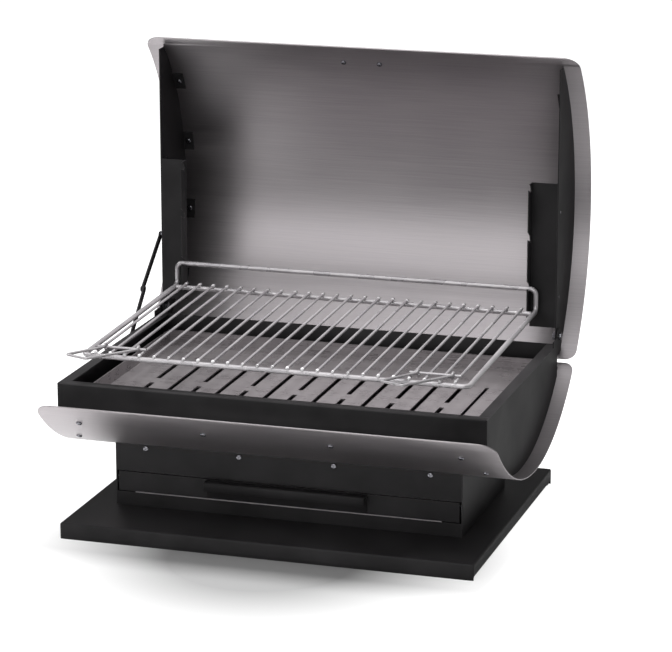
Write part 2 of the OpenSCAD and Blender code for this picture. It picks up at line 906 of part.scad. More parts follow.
module lid_shell() {
    color(steel)
        difference() {
            rounded_roll(lid_y, lid_z, lid_r, lid_t, -lid_low_angle, lid_top_angle,
                         shell_w, lid_low_corner, lid_corner);
            for (sx = [-1, 1], a = tab_angles)
                on_roll(lid_y, lid_z, lid_r, a, sx * lid_tab_x)
                    screw_hole(2 * lid_t);
            for (sx = [-1, 1])
                on_roll(lid_y, lid_z, lid_r, lid_grip_angle, sx * lid_grip_pitch / 2)
                    screw_hole(2 * lid_t);
        }
}

module lid_side() {
    half = lid_tab_l / lid_in * 90 / PI;
    color(black)
        difference() {
            union() {
                plate_x(lid_side_x - lid_side_t, lid_side_t)
                    intersection() {
                        translate([lid_y, lid_z])
                            circle(lid_side_r, $fn = arc_fn);
                        translate([chord_y, lid_side_low])
                            square([lid_r, lid_side_top - lid_side_low]);
                    }
                for (a = tab_angles)
                    rolled_sheet(lid_y, lid_z, lid_tab_r - lid_side_t, lid_tab_r, a - half, a + half,
                                 lid_side_x - lid_side_t - lid_tab_w, lid_side_x - lid_side_t / 2);
            }
            translate([0, pivot_y, pivot_z])
                rotate([0, 90, 0])
                    cylinder(r = pivot_d / 2 + pin_clear, h = box_w, $fn = small_fn);
            for (a = tab_angles)
                on_roll(lid_y, lid_z, lid_side_r, a, lid_tab_x)
                    screw_hole(2 * lid_side_t);
            for (z = hanger_screw_zs)
                translate([lid_side_x, hanger_screw_y, z])
                    rotate([0, 90, 0])
                        screw_hole(2 * lid_side_t);
        }
}

module lid_side_right() {
    lid_side();
}

// The hole in the left side plate and hanger for the stay's upper rivet
module stay_rivet_hole() {
    translate([-lid_side_x, stay_lid_y, stay_lid_z])
        rotate([0, 90, 0])
            cylinder(r = stay_rivet_d / 2 + hole_clear, h = 8 * lid_side_t, center = true, $fn = small_fn);
}

module lid_side_left() {
    difference() {
        mirror_x(true)
            lid_side();
        stay_rivet_hole();
    }
}

// Screws whose heads show inside the hood, on the side plates' tabs
module lid_screws() {
    color(zinc)
        for (sx = [-1, 1], a = tab_angles)
            on_roll(lid_y, lid_z, lid_tab_r - lid_side_t - seat_gap, a, sx * lid_tab_x)
                rotate([180, 0, 0])
                    small_screw(lid_side_t + lid_t + screw_head_h);
}

// Grid hangers

hanger_screw_y = chord_y + hanger_t + hanger_leg / 2;
hanger_screw_zs = [hanger_low + 2 * hanger_leg, hanger_top - 2 * hanger_leg];

// A sloping notch that ends in a round seat, cut along X
module notch_cutter(z) {
    translate([strip_x - hanger_t - past, seat_y, z])
        rotate([0, 90, 0]) {
            cylinder(r = notch_w / 2, h = 2 * hanger_t + 2 * past, $fn = small_fn);
            rotate([0, 0, -notch_slope])
                translate([-notch_w / 2 - notch_ease, -4 * notch_depth, 0])
                    cube([notch_w + notch_ease, 4 * notch_depth, 2 * hanger_t + 2 * past]);
        }
}

module grid_hanger() {
    x1 = lid_side_x - lid_side_t - seat_gap;
    color(black)
        difference() {
            union() {
                block([x1 - hanger_t, chord_y, hanger_low], [x1, chord_y + hanger_t + hanger_leg, hanger_top]);
                block([strip_x - hanger_t, chord_y, hanger_low], [x1, chord_y + hanger_t, hanger_top]);
                block([strip_x - hanger_t, strip_y, strip_low], [strip_x, chord_y + hanger_t, hanger_top]);
            }
            for (i = [0:notch_count - 1])
                notch_cutter(notch_z + i * notch_pitch);
            for (z = hanger_screw_zs)
                translate([lid_side_x, hanger_screw_y, z])
                    rotate([0, 90, 0])
                        screw_hole(4 * lid_side_t);
        }
}

module grid_hanger_right() {
    grid_hanger();
}

module grid_hanger_left() {
    difference() {
        mirror_x(true)
            grid_hanger();
        stay_rivet_hole();
    }
}

module hanger_screws() {
    shank = hanger_t + lid_side_t + seat_gap + screw_head_h / 3;
    color(zinc)
        for (s = [0, 1], z = hanger_screw_zs)
            mirror_x(s == 1)
                translate([lid_side_x - lid_side_t - seat_gap - hanger_t, hanger_screw_y, z])
                    rotate([0, -90, 0])
                        small_screw(shank);
}

// Hood handle

// Draws in the plane square to the hood at the handle: X outwards, Y up along the hood
module lid_handle() {
    low = -lid_grip_leg / 2 - grip_t / 2;
    r0 = lid_r + 2 * seat_gap + pow(lid_grip_leg / 2, 2) / (2 * lid_r);
    color(black)
        difference() {
            rotate([90, 0, 90])
                translate([lid_y, lid_z, -lid_grip_w / 2])
                    rotate([0, 0, lid_grip_angle])
                        linear_extrude(lid_grip_w) {
                            translate([r0, low])
                                square([grip_t, lid_grip_leg]);
                            translate([r0, low])
                                square([lid_grip_out, grip_t]);
                            translate([r0 + lid_grip_out - grip_t, low])
                                square([grip_t, lid_grip_lip]);
                        }
            for (sx = [-1, 1])
                on_roll(lid_y, lid_z, lid_r, lid_grip_angle, sx * lid_grip_pitch / 2)
                    screw_hole(2 * grip_t);
        }
}

module lid_handle_screws() {
    color(zinc)
        for (sx = [-1, 1])
            on_roll(lid_y, lid_z, lid_in - seat_gap, lid_grip_angle, sx * lid_grip_pitch / 2)
                rotate([180, 0, 0])
                    small_screw(lid_t + grip_t + screw_head_h);
}

// Stay

// A flat link from its pivot at the origin to its elbow along +X
module link(len) {
    difference() {
        union() {
            for (x = [0, len])
                translate([x, 0])
                    circle(stay_w / 2, $fn = small_fn);
            translate([0, -stay_w / 2])
                square([len, stay_w]);
        }
        for (x = [0, len])
            translate([x, 0])
                circle(stay_rivet_d / 2 + pin_clear, $fn = small_fn);
    }
}

module link_at(x0, y, z, angle) {
    rotate([90, 0, 90])
        translate([y, z, x0])
            rotate([0, 0, angle])
                linear_extrude(stay_t)
                    link(stay_len);
}

module stay_lower() {
    color(black)
        link_at(stay_low_x - stay_t, stay_box_y, stay_box_z, stay_dir + stay_bend);
}

module stay_upper() {
    color(black)
        link_at(stay_up_x - stay_t, stay_lid_y, stay_lid_z, 180 + stay_dir - stay_bend);
}

module stay_base_rivet() {
    grip = stay_t + run_gap + box_t + 3 * seat_gap;
    color(zinc)
        translate([stay_low_x - stay_t - seat_gap, stay_box_y, stay_box_z])
            rotate([0, -90, 0]) {
                screw(grip + seat_gap, stay_w / 3, run_gap / 2, stay_rivet_d / 2);
                translate([0, 0, -grip - run_gap])
                    cylinder(r = screw_head_d / 2, h = run_gap, $fn = small_fn);
            }
}

module stay_lid_rivet() {
    spacer = lid_side_x + stay_up_x;
    grip = stay_t - spacer + lid_side_t + hanger_t + 3 * seat_gap;
    color(zinc)
        translate([stay_up_x - stay_t - seat_gap, stay_lid_y, stay_lid_z])
            rotate([0, -90, 0]) {
                screw(grip + seat_gap, screw_head_d / 2, screw_head_h / 2, stay_rivet_d / 2);
                translate([0, 0, -stay_t + spacer])
                    cylinder(r = stay_rivet_d, h = -spacer - run_gap, $fn = small_fn);
                translate([0, 0, -grip - screw_head_h / 2])
                    cylinder(r = screw_head_d / 2, h = screw_head_h / 2, $fn = small_fn);
            }
}

module stay_elbow_rivet() {
    a = 180 + stay_dir - stay_bend;
    color(zinc)
        translate([stay_up_x - stay_t - seat_gap, stay_lid_y + stay_len * cos(a), stay_lid_z + stay_len * sin(a)])
            rotate([0, -90, 0])
                screw(stay_t + seat_gap, screw_head_d / 2, screw_head_h / 2, stay_rivet_d / 2);
}

// Ash drawer

rivet_xs = [-drawer_grip_w / 3, drawer_grip_w / 3];
rivet_z = front_top - run_gap - grip_t - drawer_grip_lip / 2;

module ash_drawer_pan() {
    x = pan_w / 2;
    y0 = front_y + seat_gap;
    y1 = y0 + pan_d;
    color(steel)
        difference() {
            union() {
                block([-x, y0, pan_z], [x, y1, pan_top]);
                block([-x - pan_flange, y0 + 2 * pan_flange, pan_top - pan_t], [x + pan_flange, y1, pan_top]);
                block([-x, ped_front - pan_lip, pan_z], [x, y0 + pan_t, pan_z + pan_t]);
            }
            block([-x + pan_t, y0 + pan_t, pan_z + pan_t], [x - pan_t, y1 - pan_t, pan_top + past]);
            for (px = rivet_xs)
                translate([px, front_y, rivet_z])
                    rotate([90, 0, 0])
                        screw_hole(3 * ped_t);
        }
}

module drawer_front() {
    color(black)
        difference() {
            block([-front_x, ped_front, front_low], [front_x, front_y, front_top]);
            for (px = rivet_xs)
                translate([px, ped_front, rivet_z])
                    rotate([90, 0, 0])
                        screw_hole(2 * ped_t);
        }
}

module drawer_handle() {
    x = drawer_grip_w / 2;
    y1 = ped_front - seat_gap;
    y0 = ped_front - drawer_grip_out;
    z1 = front_top - run_gap;
    color(black)
        difference() {
            union() {
                block([-x, y1 - grip_t, front_low + grip_t], [x, y1, z1]);
                block([-x, y0, z1 - grip_t], [x, y1, z1]);
                block([-x, y0, z1 - drawer_grip_lip], [x, y0 + grip_t, z1]);
            }
            for (px = rivet_xs)
                translate([px, ped_front, rivet_z])
                    rotate([90, 0, 0])
                        screw_hole(2 * grip_t);
        }
}

// Two rivets behind the handle's lip hold the handle, the front and the pan together
module drawer_rivets() {
    color(black)
        for (px = rivet_xs)
            translate([px, ped_front - grip_t - 2 * seat_gap, rivet_z])
                rotate([90, 0, 0])
                    screw(ped_t + 4 * seat_gap + pan_t + grip_t, screw_head_d / 2, screw_head_h / 2,
                          screw_d / 2);
}

// Cooking grid

// Places the children in the grid's own frame, whose origin is the hanging rod
module in_grid() {
    translate([0, seat_y, notch_z])
        rotate([grid_droop, 0, 0])
            children();
}

// A round bar from one point to another
module bar(a, b, d) {
    v = b - a;
    len = norm(v);
    translate(a)
        rotate([0, acos(v[2] / len), atan2(v[1], v[0])])
            cylinder(d = d, h = len, $fn = bend_fn);
}

// A quarter bend of round bar, from +X to +Y about the origin
module quarter(r, d) {
    rotate_extrude(angle = 90, $fn = 2 * bend_fn)
        translate([r, 0])
            circle(d = d, $fn = bend_fn);
}

module grid_frame() {
    x = grid_w / 2;
    y = -grid_d;
    z = -fence_h;
    b = rod_bend;
    d = frame_rod_d;
    color(wire_grey)
        in_grid() {
            bar([-x + b, y, z], [x - b, y, z], d);
            bar([-x + b, 0, 0], [x - b, 0, 0], d);
            for (s = [0, 1])
                mirror_x(s == 1) {
                    bar([x, y + b, z], [x, -b, z], d);
                    bar([x, 0, z + b], [x, 0, -b], d);
                    translate([x - b, y + b, z])
                        rotate([0, 0, -90])
                            quarter(b, d);
                    translate([x, -b, z + b])
                        rotate([90, 0, 90])
                            rotate([0, 0, -90])
                                quarter(b, d);
                    translate([x - b, 0, -b])
                        rotate([90, 0, 0])
                            quarter(b, d);
                }
        }
}

module grid_rear_rail() {
    x = (grid_w - frame_rod_d) / 2 - seat_gap;
    color(wire_grey)
        in_grid()
            bar([-x, rail_y, -fence_h], [x, rail_y, -fence_h], frame_rod_d);
}

function wire_x(i) = i * wire_pitch;

module grid_wires() {
    color(wire_grey)
        in_grid()
            for (i = [-wire_half:wire_half])
                bar([wire_x(i), -grid_d - wire_d / 2, wire_z], [wire_x(i), rail_y + wire_tail, wire_z], wire_d);
}

// The short cross pins on which the two lifting handles turn
module grid_handle_pins() {
    color(wire_grey)
        in_grid()
            for (i = [left_handle_wire, right_handle_wire])
                bar([wire_x(i) - wire_d, pin_y, pin_z], [wire_x(i + handle_gaps) + wire_d, pin_y, pin_z], wire_d);
}

// A bent wire loop with two eyes round its pin, leaning to the left
module grid_handle(i) {
    x0 = wire_x(i) + eye_inset;
    x1 = wire_x(i + handle_gaps) - eye_inset;
    x2 = x0 - handle_lean;
    y0 = pin_y - wire_d;
    y1 = pin_y - handle_reach;
    z = handle_z;
    corners = [[x0, y0, z], [x2, y1, z], [x2 + handle_bar, y1 - handle_skew, z], [x1, y0, z]];
    color(wire_grey)
        in_grid() {
            for (k = [0:2])
                bar(corners[k], corners[k + 1], wire_d);
            for (k = [1, 2])
                translate(corners[k])
                    cylinder(d = wire_d + weld, h = wire_d + weld, center = true, $fn = small_fn);
            for (x = [x0, x1])
                translate([x - eye_w / 2, pin_y, pin_z])
                    rotate([0, 90, 0])
                        difference() {
                            cylinder(r = 3 * wire_d / 2, h = eye_w, $fn = small_fn);
                            translate([0, 0, -past])
                                cylinder(r = wire_d / 2 + pin_clear, h = eye_w + 2 * past, $fn = small_fn);
                        }
        }
}

module grid_handle_left() {
    grid_handle(left_handle_wire);
}

module grid_handle_right() {
    grid_handle(right_handle_wire);
}

// Moves the drawing so that the middle of the footprint is at the origin
module centred() {
    translate([0, -mid_y, 0])
        children();
}

centred() base_plate();
centred() pedestal_front_band();
centred() pedestal_front_rail();
centred() pedestal_side_left();
centred() pedestal_side_right();
centred() pedestal_rear();
centred() shell_bracket_front();
centred() shell_bracket_rear();
centred() pedestal_screws();
centred() base_screws();
centred() bracket_screws();
centred() drawer_runner_left();
centred() drawer_runner_right();
centred() lower_shell();
centred() firebox_front();
centred() firebox_rear();
centred() firebox_side_left();
centred() firebox_side_right();
centred() shell_screws();
centred() tray_ledge_front();
centred() tray_ledge_rear();
centred() charcoal_tray();
centred() lid_pivot_bolts();
centred() lid_pivot_washers();
centred() stay_base_rivet();
centred() lid_shell();
centred() lid_side_left();
centred() lid_side_right();
centred() lid_screws();
centred() grid_hanger_left();
centred() grid_hanger_right();
centred() hanger_screws();
centred() lid_handle();
centred() lid_handle_screws();
centred() stay_lid_rivet();
centred() stay_upper();
centred() stay_elbow_rivet();
centred() stay_lower();
centred() ash_drawer_pan();
centred() drawer_front();
centred() drawer_handle();
centred() drawer_rivets();
centred() grid_frame();
centred() grid_rear_rail();
centred() grid_wires();
centred() grid_handle_pins();
centred() grid_handle_left();
centred() grid_handle_right();
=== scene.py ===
"""Looks of a table barbecue: curved steel hood and shell, black fire box, wire grid, pedestal."""

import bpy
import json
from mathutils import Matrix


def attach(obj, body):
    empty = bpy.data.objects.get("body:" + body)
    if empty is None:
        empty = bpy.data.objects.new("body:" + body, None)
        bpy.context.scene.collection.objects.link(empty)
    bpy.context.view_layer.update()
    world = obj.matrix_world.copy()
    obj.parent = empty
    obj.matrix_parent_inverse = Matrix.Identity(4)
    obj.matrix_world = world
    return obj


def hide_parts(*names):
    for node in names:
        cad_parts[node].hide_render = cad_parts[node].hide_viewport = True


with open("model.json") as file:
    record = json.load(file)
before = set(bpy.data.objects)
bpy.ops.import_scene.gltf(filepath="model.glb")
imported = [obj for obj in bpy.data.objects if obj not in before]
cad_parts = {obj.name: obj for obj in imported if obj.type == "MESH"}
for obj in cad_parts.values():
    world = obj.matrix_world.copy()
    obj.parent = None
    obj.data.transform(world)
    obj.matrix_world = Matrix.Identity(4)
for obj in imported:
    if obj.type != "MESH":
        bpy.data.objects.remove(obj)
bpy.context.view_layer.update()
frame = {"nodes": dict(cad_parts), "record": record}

import json
import logging
import math
from dataclasses import dataclass
from enum import Enum
from typing import Callable, Sequence

import bmesh
import bpy
from mathutils import Matrix, Vector

log = logging.getLogger("barbecue")

MM = 0.001
# The drawing's middle lies this far in front of the middle of the footprint
MID_Y = 37.662
# Points closer than this, in millimetres, are one point
TOUCH = 0.001
# Points this close to a plane, in millimetres, lie in it
FLAT = 0.01
# A normal points along an axis if more than this of it does
ALONG = 0.9
# Angle of a roll's lowest line, in degrees
LOWEST = 270.0
# What stands in a rolled sheet keeps this far inside its outer face, in millimetres
SEAT = 1.6
# Most values of a noise pattern lie between these
NOISE = (0.3, 0.7)
BODY_OF = {
    node: body
    for body, nodes in frame["record"]["behaviour"]["bodies"].items()
    for node in nodes
}
SLOT_OF = {part["node"]: part["material_slot"] for part in frame["record"]["subparts"]}

Point = tuple[float, float]
Place = tuple[float, float, float]
Socket = bpy.types.NodeSocket
Tree = bpy.types.NodeTree
Piece = bpy.types.Object
Node = bpy.types.Node
Material = bpy.types.Material
Shape = bmesh.types.BMesh


# Small helpers


def place(x: float, y: float, z: float) -> Vector:
    """Turns a point of the drawing, in millimetres, into a point of the frame.

    Args:
        x: To the right.
        y: To the back, from the middle of the base plate.
        z: Up from the table.

    Returns:
        The same point in metres.
    """
    return Vector((x, y - MID_Y, z)) * MM


def linear(code: str) -> tuple[float, float, float, float]:
    """Turns an sRGB hex value into a linear colour.

    Args:
        code: Six hex digits.

    Returns:
        Red, green, blue and an alpha of 1.
    """
    parts = [int(code[i : i + 2], 16) / 255 for i in (0, 2, 4)]
    red, green, blue = (
        p / 12.92 if p <= 0.04045 else ((p + 0.055) / 1.055) ** 2.4 for p in parts
    )
    return red, green, blue, 1.0


def add_node(
    tree: Tree, kind: str, inputs: dict[str | int, object] | None = None, **settings: object
) -> Node:
    """Adds one shader node.

    Args:
        tree: The material's or world's node tree.
        kind: The node's type name.
        inputs: Socket names or numbers, each with a value or an output to link.
        settings: Properties of the node itself.

    Returns:
        The new node.
    """
    made = tree.nodes.new(kind)
    for key, value in settings.items():
        setattr(made, key, value)
    for key, value in (inputs or {}).items():
        if isinstance(value, Socket):
            tree.links.new(value, made.inputs[key])
        else:
            made.inputs[key].default_value = value
    return made


def ramp(tree: Tree, fac: Socket, stops: Sequence[tuple[float, str]]) -> Socket:
    """Adds a colour ramp of two colours.

    Args:
        tree: The node tree.
        fac: What drives the ramp.
        stops: Positions and sRGB hex values, from low to high.

    Returns:
        The ramp's colour output.
    """
    made = add_node(tree, "ShaderNodeValToRGB", {"Fac": fac})
    for element, (position, code) in zip(made.color_ramp.elements, stops):
        element.position = position
        element.color = linear(code)
    return made.outputs["Color"]


def remapped(tree: Tree, value: Socket, old: Sequence[float], new: Sequence[float]) -> Socket:
    """Moves a value so that the two old values of it become the two new ones."""
    ends = dict(zip(("From Min", "From Max", "To Min", "To Max"), (*old, *new)))
    return add_node(tree, "ShaderNodeMapRange", {"Value": value, **ends}).outputs[0]


# Finishes


@dataclass(frozen=True)
class Finish:
    """What all finishes share: a name, two shades of colour, and how uneven they are."""

    name: str
    light: str
    dark: str
    roughness: float
    metallic: float = 1.0
    blend: float = 0.2
    rough_spread: float = 0.05
    depth_mm: float = 0.02
    relief: float = 0.2

    def start(self) -> tuple[Material, Tree, Node]:
        """Makes an empty material.

        Returns:
            The material, its node tree and its main shader.
        """
        material = bpy.data.materials.new(self.name)
        material.use_nodes = True
        tree = material.node_tree
        tree.nodes.clear()
        inputs = {"Roughness": self.roughness, "Metallic": self.metallic}
        shader = add_node(tree, "ShaderNodeBsdfPrincipled", inputs)
        add_node(tree, "ShaderNodeOutputMaterial", {"Surface": shader.outputs[0]})
        return material, tree, shader

    def pattern(
        self, tree: Tree, size_mm: Sequence[float], detail: float, seed: float = 0.0
    ) -> Socket:
        """Adds a noise pattern with a real size along each axis.

        Args:
            tree: The node tree.
            size_mm: Size of one feature along X, Y and Z.
            detail: Number of finer layers.
            seed: Moves the pattern, so that two of them differ.

        Returns:
            The noise's value, from 0 to 1.
        """
        where = add_node(tree, "ShaderNodeTexCoord").outputs["Object"]
        scaled = add_node(
            tree,
            "ShaderNodeMapping",
            {
                "Vector": where,
                "Location": (seed, seed, seed),
                "Scale": [1 / (s * MM) for s in size_mm],
            },
        ).outputs[0]
        return add_node(
            tree, "ShaderNodeTexNoise", {"Vector": scaled, "Scale": 1.0, "Detail": detail}
        ).outputs["Fac"]

    def mixed(self, tree: Tree, first: Socket, second: Socket, share: float) -> Socket:
        """Mixes two patterns, with this share of the second."""
        return add_node(
            tree, "ShaderNodeMix", {0: share, 2: first, 3: second}, data_type="FLOAT"
        ).outputs[0]

    def shades(self, tree: Tree, fac: Socket) -> Socket:
        """Lets a pattern choose between the dark and the light shade."""
        return ramp(tree, fac, [(0.5 - self.blend, self.dark), (0.5 + self.blend, self.light)])

    def colour(self, tree: Tree, shader: Node, colour: Socket) -> None:
        """Gives the main shader its colour."""
        tree.links.new(colour, shader.inputs["Base Color"])

    def rough(self, tree: Tree, shader: Node, fac: Socket) -> None:
        """Lets a pattern vary the roughness.

        Args:
            tree: The node tree.
            shader: The main shader.
            fac: The pattern.
        """
        ends = (self.roughness - self.rough_spread, self.roughness + self.rough_spread)
        varied = remapped(tree, fac, NOISE, ends)
        tree.links.new(varied, shader.inputs["Roughness"])

    def bump(self, tree: Tree, shader: Node, height: Socket) -> None:
        """Lets a pattern raise the surface."""
        given = {"Height": height, "Distance": self.depth_mm * MM, "Strength": self.relief}
        tree.links.new(add_node(tree, "ShaderNodeBump", given).outputs[0], shader.inputs["Normal"])

    def build(self) -> Material:
        """Returns the finished material."""
        raise NotImplementedError


@dataclass(frozen=True)
class BrushedStainless(Finish):
    """Stainless sheet, brushed along its width: long streaks, soft stretched highlights."""

    # Real brush lines are 0.1 mm apart, and they are drawn at 1.2 mm so that they show
    streak_mm: Place = (90.0, 1.2, 1.2)
    cloud_mm: Place = (160.0, 90.0, 90.0)
    cloud_share: float = 0.35

    def build(self) -> Material:
        """Returns the finished material."""
        material, tree, shader = self.start()
        streaks = self.pattern(tree, self.streak_mm, detail=3.0)
        clouds = self.pattern(tree, self.cloud_mm, detail=2.0, seed=4.2)
        both = self.mixed(tree, streaks, clouds, self.cloud_share)
        self.colour(tree, shader, self.shades(tree, both))
        self.rough(tree, shader, both)
        self.bump(tree, shader, streaks)
        return material


@dataclass(frozen=True)
class StovePaint(Finish):
    """Heat-proof black paint, sprayed and baked: satin, faintly pebbled, with a painted highlight
    on edges.
    """

    metallic: float = 0.0
    blend: float = 0.15
    depth_mm: float = 0.03
    relief: float = 0.25
    ior: float = 1.5
    # Soot and grease leave less shine than the bare paint has
    shine: float = 0.15
    pebble_mm: float = 1.6
    cloud_mm: float = 70.0
    edge_mm: float = 0.7
    # Painted highlight: edges are mixed towards this grey, in place of the light that rounded
    # edges catch
    edge_highlight_grey: str = "4a4849"
    edge_highlight_share: float = 0.6
    # Cosine between the rounded and the flat normal at which an edge gets the full painted
    # highlight
    edge_highlight_full_at: float = 0.75

    def painted_edge_highlight(self, tree: Tree) -> Socket:
        """Finds the edges, where a painted highlight turns the paint grey.

        Args:
            tree: The node tree.

        Returns:
            How much of the painted highlight each point gets.
        """
        rounded = add_node(
            tree, "ShaderNodeBevel", {"Radius": self.edge_mm * MM}, samples=4
        ).outputs[0]
        flat = add_node(tree, "ShaderNodeNewGeometry").outputs["Normal"]
        same = add_node(
            tree, "ShaderNodeVectorMath", {0: rounded, 1: flat}, operation="DOT_PRODUCT"
        ).outputs["Value"]
        return remapped(tree, same, (1.0, self.edge_highlight_full_at), (0.0, self.edge_highlight_share))

    def build(self) -> Material:
        """Returns the finished material."""
        material, tree, shader = self.start()
        shader.inputs["IOR"].default_value = self.ior
        shader.inputs["Specular IOR Level"].default_value = self.shine
        pebbles = self.pattern(tree, [self.pebble_mm] * 3, detail=2.0)
        clouds = self.pattern(tree, [self.cloud_mm] * 3, detail=3.0, seed=2.7)
        # The paint's colour, greyed on edges by the painted highlight
        painted = add_node(
            tree,
            "ShaderNodeMix",
            {0: self.painted_edge_highlight(tree), 6: self.shades(tree, clouds), 7: linear(self.edge_highlight_grey)},
            data_type="RGBA",
        ).outputs[2]
        self.colour(tree, shader, painted)
        self.rough(tree, shader, clouds)
        self.bump(tree, shader, pebbles)
        return material


@dataclass(frozen=True)
class ZincPlate(Finish):
    """Bright zinc plating on screws, rivets and runners: pale, slightly blue, finely grained."""

    rough_spread: float = 0.08
    depth_mm: float = 0.01
    grain_mm: float = 0.9

    def build(self) -> Material:
        """Returns the finished material."""
        material, tree, shader = self.start()
        grains = self.pattern(tree, [self.grain_mm] * 3, detail=2.0)
        self.colour(tree, shader, self.shades(tree, grains))
        self.rough(tree, shader, grains)
        self.bump(tree, shader, grains)
        return material


@dataclass(frozen=True)
class RolledSteel(Finish):
    """Plain rolled sheet of the coal tray: dull grey, mottled, with faint rolling lines."""

    # The dull scale on the sheet hides about half of the bare metal
    metallic: float = 0.55
    blend: float = 0.18
    rough_spread: float = 0.07
    depth_mm: float = 0.04
    relief: float = 0.25
    mottle_mm: float = 26.0
    line_mm: Place = (120.0, 2.2, 2.2)
    line_share: float = 0.4

    def build(self) -> Material:
        """Returns the finished material."""
        material, tree, shader = self.start()
        mottle = self.pattern(tree, [self.mottle_mm] * 3, detail=4.0)
        lines = self.pattern(tree, self.line_mm, detail=2.0, seed=1.3)
        both = self.mixed(tree, mottle, lines, self.line_share)
        self.colour(tree, shader, self.shades(tree, both))
        self.rough(tree, shader, both)
        self.bump(tree, shader, both)
        return material


@dataclass(frozen=True)
class ChromedWire(Finish):
    """Drawn wire with thin chrome on it: bright, with a slight waviness from drawing."""

    metallic: float = 0.6
    rough_spread: float = 0.04
    wave_mm: Place = (22.0, 60.0, 22.0)

    def build(self) -> Material:
        """Returns the finished material."""
        material, tree, shader = self.start()
        waves = self.pattern(tree, self.wave_mm, detail=1.0)
        self.colour(tree, shader, self.shades(tree, waves))
        self.rough(tree, shader, waves)
        return material


@dataclass(frozen=True)
class WeldBead(Finish):
    """Weld bead: an uneven lump, coloured near white as a painted glint."""

    metallic: float = 0.2
    depth_mm: float = 0.2
    relief: float = 0.5
    lump_mm: float = 1.5

    def build(self) -> Material:
        """Returns the finished material."""
        material, tree, shader = self.start()
        lumps = self.pattern(tree, [self.lump_mm] * 3, detail=2.0)
        self.colour(tree, shader, self.shades(tree, lumps))
        self.bump(tree, shader, lumps)
        return material


# Each with its name, its light and its dark shade and its roughness
FINISHES: dict[str, Finish] = {
    "stainless_sheet": BrushedStainless("brushed_stainless_sheet", "b7b2b4", "a5a0a3", 0.44),
    "painted_black_steel": StovePaint("black_stove_paint", "2b2a2b", "201f20", 0.48),
    "zinc_plated_steel": ZincPlate("bright_zinc_plate", "9a9a9f", "6e6e73", 0.24),
    "grey_steel": RolledSteel("rolled_steel_sheet", "9b9698", "7d787a", 0.3),
    "chromed_wire": ChromedWire("chromed_drawn_wire", "c2bfc1", "a8a5a8", 0.28),
    # Near white: the weld beads' colour is a painted glint
    "weld_beads": WeldBead("weld_bead_painted_glint", "f2f1f2", "d4d2d4", 0.4),
}


class Wardrobe:
    """Keeps one material for each finish and puts them on pieces."""

    def __init__(self) -> None:
        """Builds every finish once."""
        self.made = {slot: finish.build() for slot, finish in FINISHES.items()}

    def dress(self, piece: Piece, finish: str) -> None:
        """Gives a piece its finish.

        Args:
            piece: The object.
            finish: The record's material slot, or another key of FINISHES.
        """
        material = self.made[finish]
        if piece.material_slots:
            for held in piece.material_slots:
                held.material = material
        else:
            piece.data.materials.append(material)


# Mesh tools


class Side(Enum):
    """Side of a drawn surface on which the sheet's thickness lies."""

    BEHIND = -1.0
    IN_FRONT = 1.0


def show(name: str, data: bpy.types.ID) -> Piece:
    """Puts new data into the scene.

    Args:
        name: The object's name.
        data: A mesh, curve, lamp or camera.

    Returns:
        The object.
    """
    made = bpy.data.objects.new(name, data)
    bpy.context.scene.collection.objects.link(made)
    return made


def smooth(mesh: bpy.types.Mesh, sharp_degrees: float) -> None:
    """Shades a mesh smooth, but for edges sharper than an angle."""
    mesh.shade_smooth()
    mesh.set_sharp_from_angle(angle=math.radians(sharp_degrees))


def baked(held: Piece) -> bpy.types.Mesh:
    """Gives an object's final mesh.

    Args:
        held: A shown object.

    Returns:
        A new mesh, with its modifiers or its curve's wire worked in.
    """
    bpy.context.view_layer.update()
    graph = bpy.context.evaluated_depsgraph_get()
    return bpy.data.meshes.new_from_object(held.evaluated_get(graph))


def piece_from(name: str, bm: Shape, sharp_degrees: float = 35.0) -> Piece:
    """Turns a bmesh into a shown object with its place in its mesh.

    Args:
        name: The object's name.
        bm: The shape, which is freed.
        sharp_degrees: Edges sharper than this stay sharp.

    Returns:
        The object.
    """
    mesh = bpy.data.meshes.new(name)
    bm.to_mesh(mesh)
    bm.free()
    smooth(mesh, sharp_degrees)
    return show(name, mesh)


def modifier(piece: Piece, kind: str, **settings: object) -> None:
    """Adds a modifier to a piece.

    Args:
        piece: The object.
        kind: The modifier's type.
        settings: Its properties.
    """
    made = piece.modifiers.new(kind.lower(), kind)
    for key, value in settings.items():
        setattr(made, key, value)


def thicken(piece: Piece, sheet_mm: float, side: Side, edge_mm: float, steps: int = 1) -> None:
    """Gives a surface the thickness of a sheet, with broken edges.

    Args:
        piece: The object.
        sheet_mm: Thickness.
        side: Where the thickness lies.
        edge_mm: Width by which the edges are broken.
        steps: Number of faces across a broken edge.
    """
    modifier(
        piece, "SOLIDIFY", thickness=sheet_mm * MM, offset=side.value, use_even_offset=True
    )
    # At one radian, cut edges and sharp folds are broken, but not the steps of a rounded fold
    modifier(
        piece, "BEVEL", width=edge_mm * MM, segments=steps, limit_method="ANGLE", angle_limit=1.0
    )


def cut_along(bm: Shape, at: Sequence[float], normal: Sequence[float]) -> None:
    """Cuts a shape's faces along the plane through a point, square to a direction."""
    everything = bm.verts[:] + bm.edges[:] + bm.faces[:]
    bmesh.ops.bisect_plane(bm, geom=everything, plane_co=at, plane_no=normal, dist=TOUCH)


def drawn_out(bm: Shape, edges: Sequence[bmesh.types.BMEdge], way: Sequence[float]) -> None:
    """Draws edges out to faces.

    Args:
        bm: The shape.
        edges: The edges.
        way: How far they move.
    """
    grown = bmesh.ops.extrude_edge_only(bm, edges=edges)["geom"]
    moved = [v for v in grown if isinstance(v, bmesh.types.BMVert)]
    bmesh.ops.translate(bm, verts=moved, vec=way)


